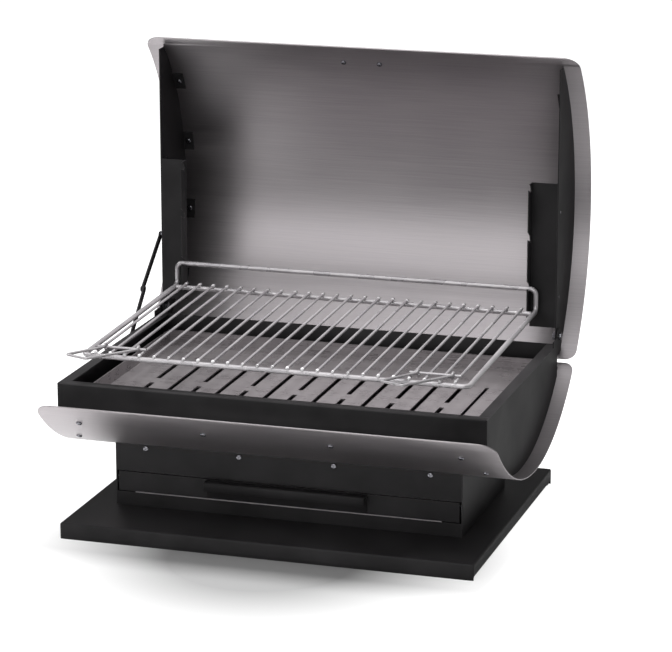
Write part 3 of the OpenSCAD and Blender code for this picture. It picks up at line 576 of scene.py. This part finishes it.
def rounded_path(corners: Sequence[Point], radii: Sequence[float], steps: int = 5) -> list[Point]:
    """Rounds the inner corners of a broken line.

    Args:
        corners: The line's points.
        radii: A radius for each inner corner.
        steps: Number of pieces in each bend.

    Returns:
        The points of the rounded line.
    """
    made = [corners[0]]
    for before, here, after, radius in zip(corners, corners[1:], corners[2:], radii):
        p, a, b = Vector(here), Vector(before), Vector(after)
        u, v = (a - p).normalized(), (b - p).normalized()
        half = u.angle(v) / 2
        reach = radius / math.tan(half)
        centre = p + (u + v).normalized() * (radius / math.sin(half))
        start, end = p + u * reach - centre, p + v * reach - centre
        turn = start.angle_signed(end)
        for i in range(steps + 1):
            spun = start.copy()
            spun.rotate(Matrix.Rotation(-turn * i / steps, 2))
            made.append(tuple(centre + spun))
    made.append(corners[-1])
    return made


def folded_strip(
    name: str, path: Sequence[Point], half_width: float, sheet: float, side: Side
) -> Piece:
    """Makes a folded strip of sheet from its profile.

    Args:
        name: The piece's name.
        path: The profile's points, as Y and Z of the drawing.
        half_width: Reach to the left and to the right.
        sheet: Thickness.
        side: The side of the profile on which the thickness lies.

    Returns:
        The piece.
    """
    bm = bmesh.new()
    verts = [bm.verts.new(place(-half_width, y, z)) for y, z in path]
    edges = [bm.edges.new(pair) for pair in zip(verts, verts[1:])]
    drawn_out(bm, edges, (2 * half_width * MM, 0, 0))
    made = piece_from(name, bm)
    thicken(made, sheet, side, edge_mm=0.2)
    return made


def goes_with(piece: Piece, wardrobe: Wardrobe, node: str, finish: str | None = None) -> Piece:
    """Dresses a piece and lets it ride with a CAD node.

    Args:
        piece: The object.
        wardrobe: The finishes.
        node: The node on whose body it rides, and whose slot it has.
        finish: The finish, if it isn't the node's.

    Returns:
        The piece.
    """
    wardrobe.dress(piece, finish or SLOT_OF[node])
    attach(piece, BODY_OF[node])
    return piece


def stands_for(piece: Piece, wardrobe: Wardrobe, node: str) -> Piece:
    """Dresses a piece, lets it ride, and hides the CAD node that it replaces.

    Args:
        piece: The object.
        wardrobe: The finishes.
        node: The CAD node that the piece stands for.

    Returns:
        The piece.
    """
    goes_with(piece, wardrobe, node)
    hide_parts(node)
    return piece


# Fasteners


@dataclass
class Fasteners:
    """Pan-head screws with a cross recess, placed where the drawing has them."""

    head_radius: float = 3.7
    head_height: float = 2.2
    shank_radius: float = 2.0
    recess_reach: float = 2.1
    recess_width: float = 0.75
    recess_depth: float = 1.3
    recess_taper: float = 0.6
    # Half section of the head, as shares of its radius and height
    crown: tuple[Point, ...] = (
        (1, 0), (1, 0.45), (0.95, 0.68), (0.84, 0.85), (0.66, 0.95), (0.4, 1), (0, 1)
    )
    turns: int = 28
    # Radians from one cross to the next, and at the first one
    next_turn: float = 1.1
    first_turn: float = 0.3

    def turned(self, shank: float) -> Shape:
        """Turns a whole screw on its axis, with its head above Z = 0.

        Args:
            shank: Length of the shank.

        Returns:
            The shape, in millimetres.
        """
        bm = bmesh.new()
        points = [(0, -shank), (self.shank_radius, -shank), (self.shank_radius, 0)]
        points += [(r * self.head_radius, h * self.head_height) for r, h in self.crown]
        verts = [bm.verts.new((r, 0, z)) for r, z in points]
        edges = [bm.edges.new(pair) for pair in zip(verts, verts[1:])]
        bmesh.ops.spin(
            bm, geom=verts + edges, cent=(0, 0, 0), axis=(0, 0, 1), angle=math.tau,
            steps=self.turns, use_merge=True,
        )
        bmesh.ops.remove_doubles(bm, verts=bm.verts, dist=TOUCH)
        bmesh.ops.recalc_face_normals(bm, faces=bm.faces)
        return bm

    def recess(self) -> Shape:
        """Makes the cross that is cut into the head.

        Returns:
            The shape, in millimetres.
        """
        long, narrow, deep = self.recess_reach * 2, self.recess_width, self.recess_depth * 2
        bm = bmesh.new()
        for size in ((long, narrow, deep), (narrow, long, deep)):
            bar = bmesh.ops.create_cube(bm, size=1.0)["verts"]
            bmesh.ops.scale(bm, verts=bar, vec=size)
            low = [v for v in bar if v.co.z < 0]
            bmesh.ops.scale(bm, verts=low, vec=(self.recess_taper, self.recess_taper, 1))
            bmesh.ops.translate(bm, verts=bar, vec=(0, 0, self.head_height))
        return bm

    def template(self, shank: float) -> bpy.types.Mesh:
        """Makes one screw that the others copy.

        Args:
            shank: Length of the shank.

        Returns:
            Its mesh, in millimetres.
        """
        shown = []
        for name, bm in (("fastener", self.turned(shank)), ("recess", self.recess())):
            mesh = bpy.data.meshes.new(name)
            bm.to_mesh(mesh)
            bm.free()
            shown.append(show(name, mesh))
        body, tool = shown
        modifier(body, "BOOLEAN", object=tool, solver="EXACT", use_self=True)
        cut = baked(body)
        for held in shown:
            bpy.data.objects.remove(held)
        return cut

    def group(self, name: str, shank: float, spots: Sequence[tuple[Vector, Vector]]) -> Piece:
        """Places copies of one screw.

        Args:
            name: The piece's name.
            shank: Length of the shanks.
            spots: Seat and outward direction of each head.

        Returns:
            One piece with all of them.
        """
        template = self.template(shank)
        bm = bmesh.new()
        for i, (seat, out) in enumerate(spots):
            before = len(bm.verts)
            bm.from_mesh(template)
            bm.verts.ensure_lookup_table()
            turn = out.to_track_quat("Z", "Y").to_matrix().to_4x4()
            # Each cross stands at its own angle, as a screwdriver leaves it
            spin = Matrix.Rotation(self.next_turn * i + self.first_turn, 4, "Z")
            bmesh.ops.transform(
                bm, verts=bm.verts[before:],
                matrix=Matrix.Translation(seat) @ turn @ spin @ Matrix.Scale(MM, 4),
            )
        return piece_from(name, bm, sharp_degrees=40.0)


def row_of_four(pitch: float) -> list[float]:
    """Gives four places in a row about the middle."""
    return [i * pitch for i in (-1.5, -0.5, 0.5, 1.5)]


@dataclass
class Roll:
    """A sheet rolled about an axis along X, and places on it."""

    y: float
    z: float
    radius: float

    def inside(self, depth: float) -> "Roll":
        """Gives the same roll closer to its axis."""
        return Roll(self.y, self.z, self.radius - depth)

    def spot(self, degrees: float, x: float, inwards: bool = False) -> tuple[Vector, Vector]:
        """Gives a place on the roll.

        Args:
            degrees: Angle from +Y towards +Z.
            x: Place across the width.
            inwards: True if the screw's head faces the axis.

        Returns:
            The place and the direction of its head.
        """
        c, s = math.cos(math.radians(degrees)), math.sin(math.radians(degrees))
        where = place(x, self.y + self.radius * c, self.z + self.radius * s)
        return where, Vector((0, c, s)) * (-1 if inwards else 1)


# Sub-assemblies


@dataclass
class RolledShell:
    """A curved sheet with rounded corners, bent from a flat blank."""

    name: str
    node: str
    roll: Roll
    start: float
    end: float
    start_corner: float
    end_corner: float
    width: float = 600.0
    sheet: float = 1.5
    window: Point | None = None
    strips: int = 120

    def blank(self) -> Shape:
        """Cuts the flat blank: X across and Y along the bend, in millimetres.

        Returns:
            The blank.
        """
        length = math.radians(self.end - self.start) * self.roll.radius
        bm = bmesh.new()
        bmesh.ops.create_grid(bm, x_segments=1, y_segments=1, size=0.5)
        bmesh.ops.scale(bm, verts=bm.verts, vec=(self.width, length, 1))
        for upper, radius in ((False, self.start_corner), (True, self.end_corner)):
            corners = [v for v in bm.verts if (v.co.y > 0) == upper]
            bmesh.ops.bevel(
                bm, geom=corners, offset=radius, offset_type="OFFSET", affect="VERTICES",
                segments=10, profile=0.5, material=-1,
            )
        for i in range(1, self.strips):
            cut_along(bm, (0, -length / 2 + length * i / self.strips, 0), (0, 1, 0))
        for x in (-0.25, 0.0, 0.25):
            cut_along(bm, (x * self.width, 0, 0), (1, 0, 0))
        if self.window:
            self.cut_window(bm)
        return bm

    def cut_window(self, bm: Shape) -> None:
        """Cuts the hole for the ash at the roll's lowest line.

        Args:
            bm: The blank.
        """
        middle = math.radians(LOWEST - (self.start + self.end) / 2) * self.roll.radius
        half_w, half_l = self.window[0] / 2, self.window[1] / 2
        for x in (-half_w, half_w):
            cut_along(bm, (x, 0, 0), (1, 0, 0))
        for y in (middle - half_l, middle + half_l):
            cut_along(bm, (0, y, 0), (0, 1, 0))
        hole = [
            f for f in bm.faces
            if abs(f.calc_center_median().x) < half_w
            and abs(f.calc_center_median().y - middle) < half_l
        ]
        bmesh.ops.delete(bm, geom=hole, context="FACES")

    def build(self, wardrobe: Wardrobe) -> list[Piece]:
        """Bends the blank and dresses it.

        Args:
            wardrobe: The finishes.

        Returns:
            The piece.
        """
        roll = self.roll
        bm = self.blank()
        middle = math.radians((self.start + self.end) / 2)
        for v in bm.verts:
            a = middle + v.co.y / roll.radius
            v.co = place(
                v.co.x, roll.y + roll.radius * math.cos(a), roll.z + roll.radius * math.sin(a)
            )
        bmesh.ops.recalc_face_normals(bm, faces=bm.faces)
        face = bm.faces[:][0]
        outward = face.calc_center_median() - place(0, roll.y, roll.z)
        outward.x = 0
        if face.normal.dot(outward) < 0:
            bmesh.ops.reverse_faces(bm, faces=bm.faces)
        made = piece_from(self.name, bm, sharp_degrees=60.0)
        thicken(made, self.sheet, Side.BEHIND, edge_mm=0.25, steps=2)
        return [stands_for(made, wardrobe, self.node)]


@dataclass
class BasePlate:
    """The folded plate under everything: a tray turned upside down with rounded folds."""

    width: float = 545.0
    depth: float = 410.0
    height: float = 21.0
    sheet: float = 2.0
    side_lift: float = 5.0
    lip: float = 12.0
    fold_radius: float = 2.6

    def fold_lip(self, bm: Shape, side: int) -> None:
        """Folds the lip under the front or the rear flange.

        Args:
            bm: The plate.
            side: -1 for the front and 1 for the rear.
        """
        foot = [
            e for e in bm.edges
            if e.is_boundary
            and all(abs(v.co.z) < FLAT and abs(v.co.y - side * self.depth / 2) < FLAT
                    for v in e.verts)
        ]
        drawn_out(bm, foot, (0, -side * self.lip, 0))

    def build(self, wardrobe: Wardrobe) -> list[Piece]:
        """Folds the plate.

        Args:
            wardrobe: The finishes.

        Returns:
            The piece.
        """
        bm = bmesh.new()
        bmesh.ops.create_cube(bm, size=1.0)
        bmesh.ops.scale(bm, verts=bm.verts, vec=(self.width, self.depth, self.height))
        bmesh.ops.translate(bm, verts=bm.verts, vec=(0, 0, self.height / 2))
        under = [f for f in bm.faces if f.normal.z < -ALONG]
        bmesh.ops.delete(bm, geom=under, context="FACES_ONLY")
        folds = [e for e in bm.edges if len(e.link_faces) == 2]
        bmesh.ops.bevel(
            bm, geom=folds, offset=self.fold_radius, offset_type="OFFSET", affect="EDGES",
            segments=4, profile=0.5, material=-1,
        )
        cut_along(bm, (0, 0, self.side_lift), (0, 0, 1))
        low = [
            f for f in bm.faces
            if f.calc_center_median().z < self.side_lift and abs(f.normal.x) > ALONG
        ]
        bmesh.ops.delete(bm, geom=low, context="FACES")
        for side in (-1, 1):
            self.fold_lip(bm, side)
        for v in bm.verts:
            v.co = place(*v.co)
        bmesh.ops.recalc_face_normals(bm, faces=bm.faces)
        top = max(bm.faces, key=lambda f: f.calc_area())
        if top.normal.z < 0:
            bmesh.ops.reverse_faces(bm, faces=bm.faces)
        made = piece_from("base_plate_folded", bm)
        thicken(made, self.sheet, Side.BEHIND, edge_mm=0.3)
        return [stands_for(made, wardrobe, "base_plate")]


@dataclass
class FireBox:
    """The front and rear wall of the black box that stands in the shell."""

    shell: Roll
    width: float = 562.0
    front: float = 181.0
    rear: float = 190.0
    rim: float = 199.0
    rim_width: float = 14.0
    sheet: float = 1.5
    flange: float = 14.0
    fold_radius: float = 2.4
    side_gap: float = 0.1

    def foot(self, y: float, turn: int) -> list[Point]:
        """Gives the flange that lies along the shell under a wall.

        Args:
            y: Place of the wall.
            turn: 1 if the flange runs to the front and -1 to the back.

        Returns:
            Points from the flange's end to the wall's foot.
        """
        r = self.shell.radius
        base = math.degrees(math.acos(abs(y) / r))
        angle = 180 + base if turn > 0 else 360 - base
        step = -turn * math.degrees(self.flange / r)
        turns = [math.radians(angle + step * k) for k in (1.0, 0.75, 0.5, 0.25, 0.0)]
        return [(r * math.cos(a), self.shell.z + r * math.sin(a)) for a in turns]

    def build(self, wardrobe: Wardrobe) -> list[Piece]:
        """Folds the two walls.

        Args:
            wardrobe: The finishes.

        Returns:
            The pieces.
        """
        x = self.width / 2 - self.sheet - self.side_gap
        foot = self.foot(self.front, 1)
        wall = rounded_path(
            [foot[-1], (-self.front, self.rim), (-self.front + self.rim_width, self.rim)],
            [self.fold_radius],
        )
        front = folded_strip(
            "firebox_front_folded", [*foot[:-1], *wall], x, self.sheet, Side.BEHIND
        )
        path = [*self.foot(self.rear, -1), (self.rear, self.rim)]
        rear = folded_strip("firebox_rear_folded", path, x, self.sheet, Side.IN_FRONT)
        return [
            stands_for(front, wardrobe, "firebox_front"),
            stands_for(rear, wardrobe, "firebox_rear"),
        ]


@dataclass
class WireGrid:
    """Weld beads on the cooking grid and its two bent wire handles."""

    seat_y: float = 183.0
    seat_z: float = 273.5
    droop: float = 1.6
    depth: float = 346.0
    fence: float = 30.4
    rod: float = 6.5
    wire: float = 3.6
    weld: float = 0.4
    pitch: float = 19.6
    wires: int = 25
    rail_y: float = -13.5
    bead: Place = (2.3, 2.5, 2.4)
    # How much the beads' sizes vary, and the radians from one size to the next
    bead_spread: float = 0.12
    bead_turn: float = 7.3
    # Number of each handle's first cross wire, counted from the middle one
    left_wire: int = -12
    right_wire: int = 9
    pin_back: float = 16.0
    pin_gaps: int = 3
    eye_inset: float = 6.8
    eye_steps: int = 28
    eye_step_degrees: float = 12.0
    eye_drift: float = 0.055
    reach: float = 48.0
    lean: float = 34.0
    bar: float = 30.5
    skew: float = 10.0
    bend_radii: Point = (2.6, 3.2)
    run_gap: float = 0.4

    @property
    def wire_z(self) -> float:
        """Height of the cross wires' centres above the rear rod's."""
        return -self.fence + (self.rod + self.wire) / 2 - self.weld

    def hang(self, x: float, y: float, z: float) -> Vector:
        """Places a point of the grid, which hangs from its rear rod.

        Args:
            x: To the right.
            y: To the back of the rod.
            z: Above the rod.

        Returns:
            The point in the frame.
        """
        a = math.radians(self.droop)
        return place(
            x,
            self.seat_y + y * math.cos(a) - z * math.sin(a),
            self.seat_z + y * math.sin(a) + z * math.cos(a),
        )

    def beads(self, wardrobe: Wardrobe) -> Piece:
        """Puts a weld bead where each cross wire meets the front rod and the rear rail.

        Args:
            wardrobe: The finishes.

        Returns:
            The piece.
        """
        half = (self.wires - 1) // 2
        bm = bmesh.new()
        for i in range(-half, half + 1):
            for y in (-self.depth, self.rail_y):
                made = bmesh.ops.create_uvsphere(bm, u_segments=10, v_segments=6, radius=1.0)
                ball = made["verts"]
                bmesh.ops.scale(bm, verts=ball, vec=self.bead)
                size = 1 + self.bead_spread * math.sin(self.bead_turn * i + y)
                bmesh.ops.scale(bm, verts=ball, vec=[size] * 3)
                bmesh.ops.scale(bm, verts=ball, vec=[MM] * 3)
                where = self.hang(i * self.pitch, y, self.wire_z)
                bmesh.ops.translate(bm, verts=ball, vec=where)
        beads = piece_from("grid_weld_beads", bm, sharp_degrees=80.0)
        return goes_with(beads, wardrobe, "grid_wires", "weld_beads")

    def eye(self, x: float, side: int, level: float) -> list[Vector]:
        """Gives the path of the ring that one end of a handle makes about its pin.

        Args:
            x: Place of the ring.
            side: -1 for the left end and 1 for the right end.
            level: Height at which the wire leaves the ring.

        Returns:
            The points of the wire's centre, from its end.
        """
        pin_y, pin_z = -self.depth + self.pin_back, self.wire_z + self.wire - self.weld
        radius = self.wire
        lead = math.degrees(math.asin((level - pin_z) / radius))
        ring = []
        for k in range(self.eye_steps, -1, -1):
            a = math.radians(180 - lead - self.eye_step_degrees * k)
            ring.append(
                self.hang(
                    x - side * self.eye_drift * k,
                    pin_y + radius * math.cos(a),
                    pin_z + radius * math.sin(a),
                )
            )
        return ring

    def loop(self, first: int) -> list[Vector]:
        """Gives the path of one handle's wire, eye to eye.

        Args:
            first: Number of the handle's first cross wire.

        Returns:
            The points of the wire's centre.
        """
        level = self.wire_z + self.wire + self.run_gap
        x0 = first * self.pitch + self.eye_inset
        x1 = (first + self.pin_gaps) * self.pitch - self.eye_inset
        x2 = x0 - self.lean
        pin_y = -self.depth + self.pin_back
        start_y, front_y = pin_y - self.wire, pin_y - self.reach
        flat = rounded_path(
            [(x0, start_y), (x2, front_y), (x2 + self.bar, front_y - self.skew), (x1, start_y)],
            self.bend_radii,
            steps=7,
        )
        run = [self.hang(x, y, level) for x, y in flat]
        return self.eye(x0, -1, level) + run + self.eye(x1, 1, level)[::-1]

    def handle(self, wardrobe: Wardrobe, first: int, node: str) -> Piece:
        """Bends one handle from wire.

        Args:
            wardrobe: The finishes.
            first: Number of the handle's first cross wire.
            node: The CAD node that it stands for.

        Returns:
            The piece.
        """
        points = self.loop(first)
        curve = bpy.data.curves.new(node + "_wire", "CURVE")
        curve.dimensions = "3D"
        curve.bevel_depth = self.wire / 2 * MM
        curve.bevel_resolution = 5
        curve.use_fill_caps = True
        spline = curve.splines.new("POLY")
        spline.points.add(len(points) - 1)
        for held, p in zip(spline.points, points):
            held.co = (*p, 1.0)
        bent = show(node + "_wire", curve)
        mesh = baked(bent)
        bpy.data.objects.remove(bent)
        smooth(mesh, sharp_degrees=50.0)
        return stands_for(show(node + "_bent_wire", mesh), wardrobe, node)

    def build(self, wardrobe: Wardrobe) -> list[Piece]:
        """Builds the beads and both handles.

        Args:
            wardrobe: The finishes.

        Returns:
            The pieces.
        """
        return [
            self.beads(wardrobe),
            self.handle(wardrobe, self.left_wire, "grid_handle_left"),
            self.handle(wardrobe, self.right_wire, "grid_handle_right"),
        ]


@dataclass
class DrawerHandle:
    """The drawer's pull: a strip folded forwards at the top, with a lip that hangs down."""

    half_width: float = 107.0
    face: float = 108.5
    out: float = 14.0
    top: float = 65.4
    lip: float = 12.0
    foot: float = 42.0
    sheet: float = 2.0
    fold_radius: float = 2.6
    gap: float = 0.1

    def build(self, wardrobe: Wardrobe) -> list[Piece]:
        """Folds the pull.

        Args:
            wardrobe: The finishes.

        Returns:
            The piece.
        """
        back = -self.face - self.gap
        front = -self.face - self.out
        path = rounded_path(
            [(back, self.foot), (back, self.top), (front, self.top), (front, self.top - self.lip)],
            [self.fold_radius, self.fold_radius],
        )
        made = folded_strip(
            "drawer_handle_folded", path, self.half_width, self.sheet, Side.IN_FRONT
        )
        return [stands_for(made, wardrobe, "drawer_handle")]


@dataclass
class Screws:
    """Every screw group of the barbecue."""

    shell: Roll
    hood: Roll
    # The hood's tabs add their own thickness to the seat
    tab_seat: float = 3.3
    short_shank: float = 3.6
    front_shank: float = 4.0
    shank: float = 5.0
    ped_front: float = 108.5
    ped_screw_z: float = 98.83
    ped_pitch: float = 126.7
    box_pitch: float = 166.7
    front_angle: float = 230.41
    rear_angle: float = 311.88
    tab_swing: float = 28.5
    tab_x: float = 269.5
    bracket_swing: float = 19.53
    bracket_pitch: float = 100.0
    base_x: float = 222.5
    base_y: float = 54.25
    base_z: float = 19.0
    lid_tab_angles: tuple[float, ...] = (30.7, 11.1, -8.5, -28.1)
    grip_angle: float = 41.4
    grip_x: float = 25.0
    hanger_x: float = 274.9
    hanger_y: float = 204.5
    hanger_zs: tuple[float, ...] = (260.0, 375.0)

    def groups(self) -> dict[str, tuple[float, list[tuple[Vector, Vector]]]]:
        """Gives the shanks' length and the screws' places.

        Returns:
            One entry for each CAD node of screws.
        """
        sides = (-1, 1)
        shell, hood = self.shell, self.hood
        inner, sheet = shell.inside(SEAT), hood.inside(SEAT)
        tabs = hood.inside(self.tab_seat)
        return {
            "pedestal_screws": (self.front_shank, [
                (place(x, s * self.ped_front, self.ped_screw_z), Vector((0, s, 0)))
                for s in sides for x in row_of_four(self.ped_pitch)]),
            "shell_screws": (self.shank, [
                shell.spot(a, x) for a in (self.front_angle, self.rear_angle)
                for x in row_of_four(self.box_pitch)] + [
                shell.spot(LOWEST + s * self.tab_swing, t * self.tab_x)
                for s in sides for t in sides]),
            "bracket_screws": (self.shank, [
                inner.spot(LOWEST + s * self.bracket_swing, x, inwards=True) for s in sides
                for x in row_of_four(self.bracket_pitch)]),
            "base_screws": (self.shank, [
                (place(s * self.base_x, t * self.base_y, self.base_z), Vector((0, 0, -1)))
                for s in sides for t in sides]),
            "lid_screws": (self.shank, [
                tabs.spot(a, s * self.tab_x, inwards=True)
                for s in sides for a in self.lid_tab_angles]),
            "lid_handle_screws": (self.shank, [
                sheet.spot(self.grip_angle, s * self.grip_x, inwards=True) for s in sides]),
            "hanger_screws": (self.short_shank, [
                (place(s * self.hanger_x, self.hanger_y, z), Vector((-s, 0, 0)))
                for s in sides for z in self.hanger_zs]),
        }

    def build(self, wardrobe: Wardrobe) -> list[Piece]:
        """Places the screws.

        Args:
            wardrobe: The finishes.

        Returns:
            One piece for each CAD node of screws.
        """
        maker = Fasteners()
        return [
            stands_for(maker.group(node + "_cross_recess", shank, spots), wardrobe, node)
            for node, (shank, spots) in self.groups().items()
        ]


# Studio


@dataclass(frozen=True)
class Lamp:
    """A soft lamp that faces the barbecue, with its place and size in metres."""

    name: str
    at: Place
    size: Point
    watts: float
    mirrored: bool = True
    aim: Place = (0, 0, 0.25)

    def build(self) -> None:
        """Hangs the lamp."""
        data = bpy.data.lights.new(self.name, "AREA")
        data.shape = "RECTANGLE"
        data.size, data.size_y = self.size
        data.energy = self.watts
        made = show(self.name, data)
        made.location = self.at
        made.visible_glossy = self.mirrored
        made.rotation_mode = "QUATERNION"
        made.rotation_quaternion = (Vector(self.at) - Vector(self.aim)).to_track_quat("Z", "Y")


@dataclass
class Studio:
    """Camera, lamps, floor and world. Lengths are metres, but for the camera's millimetres."""

    lens_mm: float = 162.4
    sensor_mm: float = 36.0
    where_mm: Place = (1153.1, -3602.5, 1249.2)
    azimuth: float = 17.28
    elevation: float = 14.80
    floor_size: float = 20.0
    # Colour of the seen floor, which the lamp's shadow takes, and where its glow turns to plain
    # white; the glow fades out towards a spot in front of the base, a painted shadow
    pale: float = 0.26
    painted_shadow_middle: Place = (0.0, -0.24, 0)
    painted_shadow_reach: Point = (0.12, 0.325)
    # Colour of the floor as it lights the barbecue, near its middle and far from it
    lit_middle: Place = (-0.3, -0.25, 0)
    lit_reach: Point = (0.5, 0.9)
    lit_levels: Point = (0.72, 0.135)
    # Metal mirrors the white behind and beside the barbecue, not the floor far in front
    mirrored: float = 0.25
    mirror_start: Point = (-0.9, -0.5)
    world_rise: Point = (0.0, 0.9)
    world_levels: Point = (0.17, 0.34)
    lamps: tuple[Lamp, ...] = (
        Lamp("front_softbox", (-0.5, -4.4, 1.5), (5.0, 1.8), 62.0),
        Lamp("left_softbox", (-2.2, -0.2, 1.7), (1.8, 1.3), 14.0),
        Lamp("overhead_softbox", (-0.2, -0.8, 2.4), (1.8, 1.5), 17.0),
        Lamp("top_softbox", (0.05, 0.45, 2.6), (0.9, 0.7), 118.0, mirrored=False),
    )

    def camera(self) -> None:
        """Makes the camera that was fitted to the photograph."""
        data = bpy.data.cameras.new("camera")
        data.lens = self.lens_mm
        data.sensor_width = self.sensor_mm
        data.clip_start, data.clip_end = 0.1, 50.0
        made = show("camera", data)
        a, e = math.radians(self.azimuth), math.radians(self.elevation)
        back = Vector((math.sin(a) * math.cos(e), -math.cos(a) * math.cos(e), math.sin(e)))
        made.location = place(*self.where_mm)
        made.rotation_mode = "QUATERNION"
        made.rotation_quaternion = (-back).to_track_quat("-Z", "Y")
        bpy.context.scene.camera = made

    def near(
        self, tree: Tree, spot: Sequence[float], reach: Sequence[float], levels: Sequence[float]
    ) -> Socket:
        """Adds a level that changes with the distance from a spot on the floor.

        Args:
            tree: The floor's node tree.
            spot: The spot.
            reach: The distances between which it changes.
            levels: The levels there.

        Returns:
            The level.
        """
        where = add_node(tree, "ShaderNodeTexCoord").outputs["Object"]
        away = add_node(
            tree, "ShaderNodeVectorMath", {0: where, 1: spot}, operation="DISTANCE"
        ).outputs["Value"]
        return remapped(tree, away, reach, levels)

    def shown(self, tree: Tree) -> Socket:
        """Finds the rays that see the white floor.

        Args:
            tree: The floor's node tree.

        Returns:
            1 for the camera's rays and through glass, and a share for reflections.
        """
        paths = add_node(tree, "ShaderNodeLightPath").outputs
        where = add_node(tree, "ShaderNodeTexCoord").outputs["Object"]
        y = add_node(tree, "ShaderNodeSeparateXYZ", {0: where}).outputs["Y"]
        behind = remapped(tree, y, self.mirror_start, (0.0, self.mirrored))
        made = add_node(
            tree, "ShaderNodeMath", {0: paths["Is Glossy Ray"], 1: behind}, operation="MULTIPLY"
        ).outputs[0]
        for path in ("Is Camera Ray", "Is Transmission Ray"):
            made = add_node(
                tree, "ShaderNodeMath", {0: made, 1: paths[path]}, operation="MAXIMUM"
            ).outputs[0]
        return made

    def floor(self) -> None:
        """Makes the pale floor, with a painted shadow in front of the base."""
        bm = bmesh.new()
        bmesh.ops.create_grid(bm, x_segments=1, y_segments=1, size=self.floor_size)
        made = piece_from("floor", bm)
        material = bpy.data.materials.new("pale_floor")
        material.use_nodes = True
        tree = material.node_tree
        tree.nodes.clear()
        # The glow is gone near a spot in front of the base: a painted shadow, added to the lamp's
        # real shadow on the pale diffuse
        white = self.near(tree, self.painted_shadow_middle, self.painted_shadow_reach, (0.0, 1.0))
        glow = add_node(
            tree, "ShaderNodeEmission", {"Color": (1, 1, 1, 1), "Strength": white}
        ).outputs[0]
        pale = add_node(
            tree, "ShaderNodeBsdfDiffuse", {"Color": (self.pale, self.pale, self.pale, 1)}
        ).outputs[0]
        seen = add_node(tree, "ShaderNodeAddShader", {0: pale, 1: glow}).outputs[0]
        grey = self.near(tree, self.lit_middle, self.lit_reach, self.lit_levels)
        dim = add_node(tree, "ShaderNodeBsdfDiffuse", {"Color": grey}).outputs[0]
        mixed = add_node(
            tree, "ShaderNodeMixShader", {0: self.shown(tree), 1: dim, 2: seen}
        ).outputs[0]
        add_node(tree, "ShaderNodeOutputMaterial", {"Surface": mixed})
        made.data.materials.append(material)

    def world(self) -> None:
        """Makes a soft, even world that gets lighter towards the top."""
        world = bpy.data.worlds.new("studio")
        bpy.context.scene.world = world
        world.use_nodes = True
        tree = world.node_tree
        tree.nodes.clear()
        way = add_node(tree, "ShaderNodeTexCoord").outputs["Generated"]
        height = add_node(tree, "ShaderNodeSeparateXYZ", {0: way}).outputs["Z"]
        level = remapped(tree, height, self.world_rise, self.world_levels)
        plain = add_node(
            tree, "ShaderNodeBackground", {"Color": (1, 1, 1, 1), "Strength": level}
        ).outputs[0]
        add_node(tree, "ShaderNodeOutputWorld", {"Surface": plain})

    def build(self) -> None:
        """Builds the whole studio."""
        self.camera()
        self.floor()
        self.world()
        for lamp in self.lamps:
            lamp.build()
        bpy.context.scene.view_settings.view_transform = "Standard"


def dress_cad_nodes(wardrobe: Wardrobe) -> None:
    """Gives every CAD node its finish.

    Args:
        wardrobe: The finishes.
    """
    for name, held in frame["nodes"].items():
        wardrobe.dress(held, SLOT_OF[name])
        smooth(held.data, sharp_degrees=30.0)


def main() -> None:
    """Builds the studio, the finishes and each sub-assembly."""
    logging.basicConfig(level=logging.INFO, format="%(message)s")
    Studio().build()
    wardrobe = Wardrobe()
    dress_cad_nodes(wardrobe)
    shell = Roll(y=0.0, z=376.0, radius=293.0)
    hood = Roll(y=6.0, z=369.0, radius=285.0)
    lower = RolledShell(
        "lower_shell_sheet", "lower_shell", shell, start=222.6, end=315.0,
        start_corner=22.0, end_corner=12.0, window=(340.0, 96.0),
    )
    lid = RolledShell(
        "lid_sheet", "lid_shell", hood, start=-43.6, end=48.3, start_corner=15.0, end_corner=22.0
    )
    makers: list[Callable[[Wardrobe], list[Piece]]] = [
        lower.build,
        lid.build,
        BasePlate().build,
        FireBox(shell.inside(SEAT)).build,
        WireGrid().build,
        DrawerHandle().build,
        Screws(shell, hood).build,
    ]
    for make in makers:
        for piece in make(wardrobe):
            log.info("built %s", piece.name)


if __name__ == "__main__":
    main()
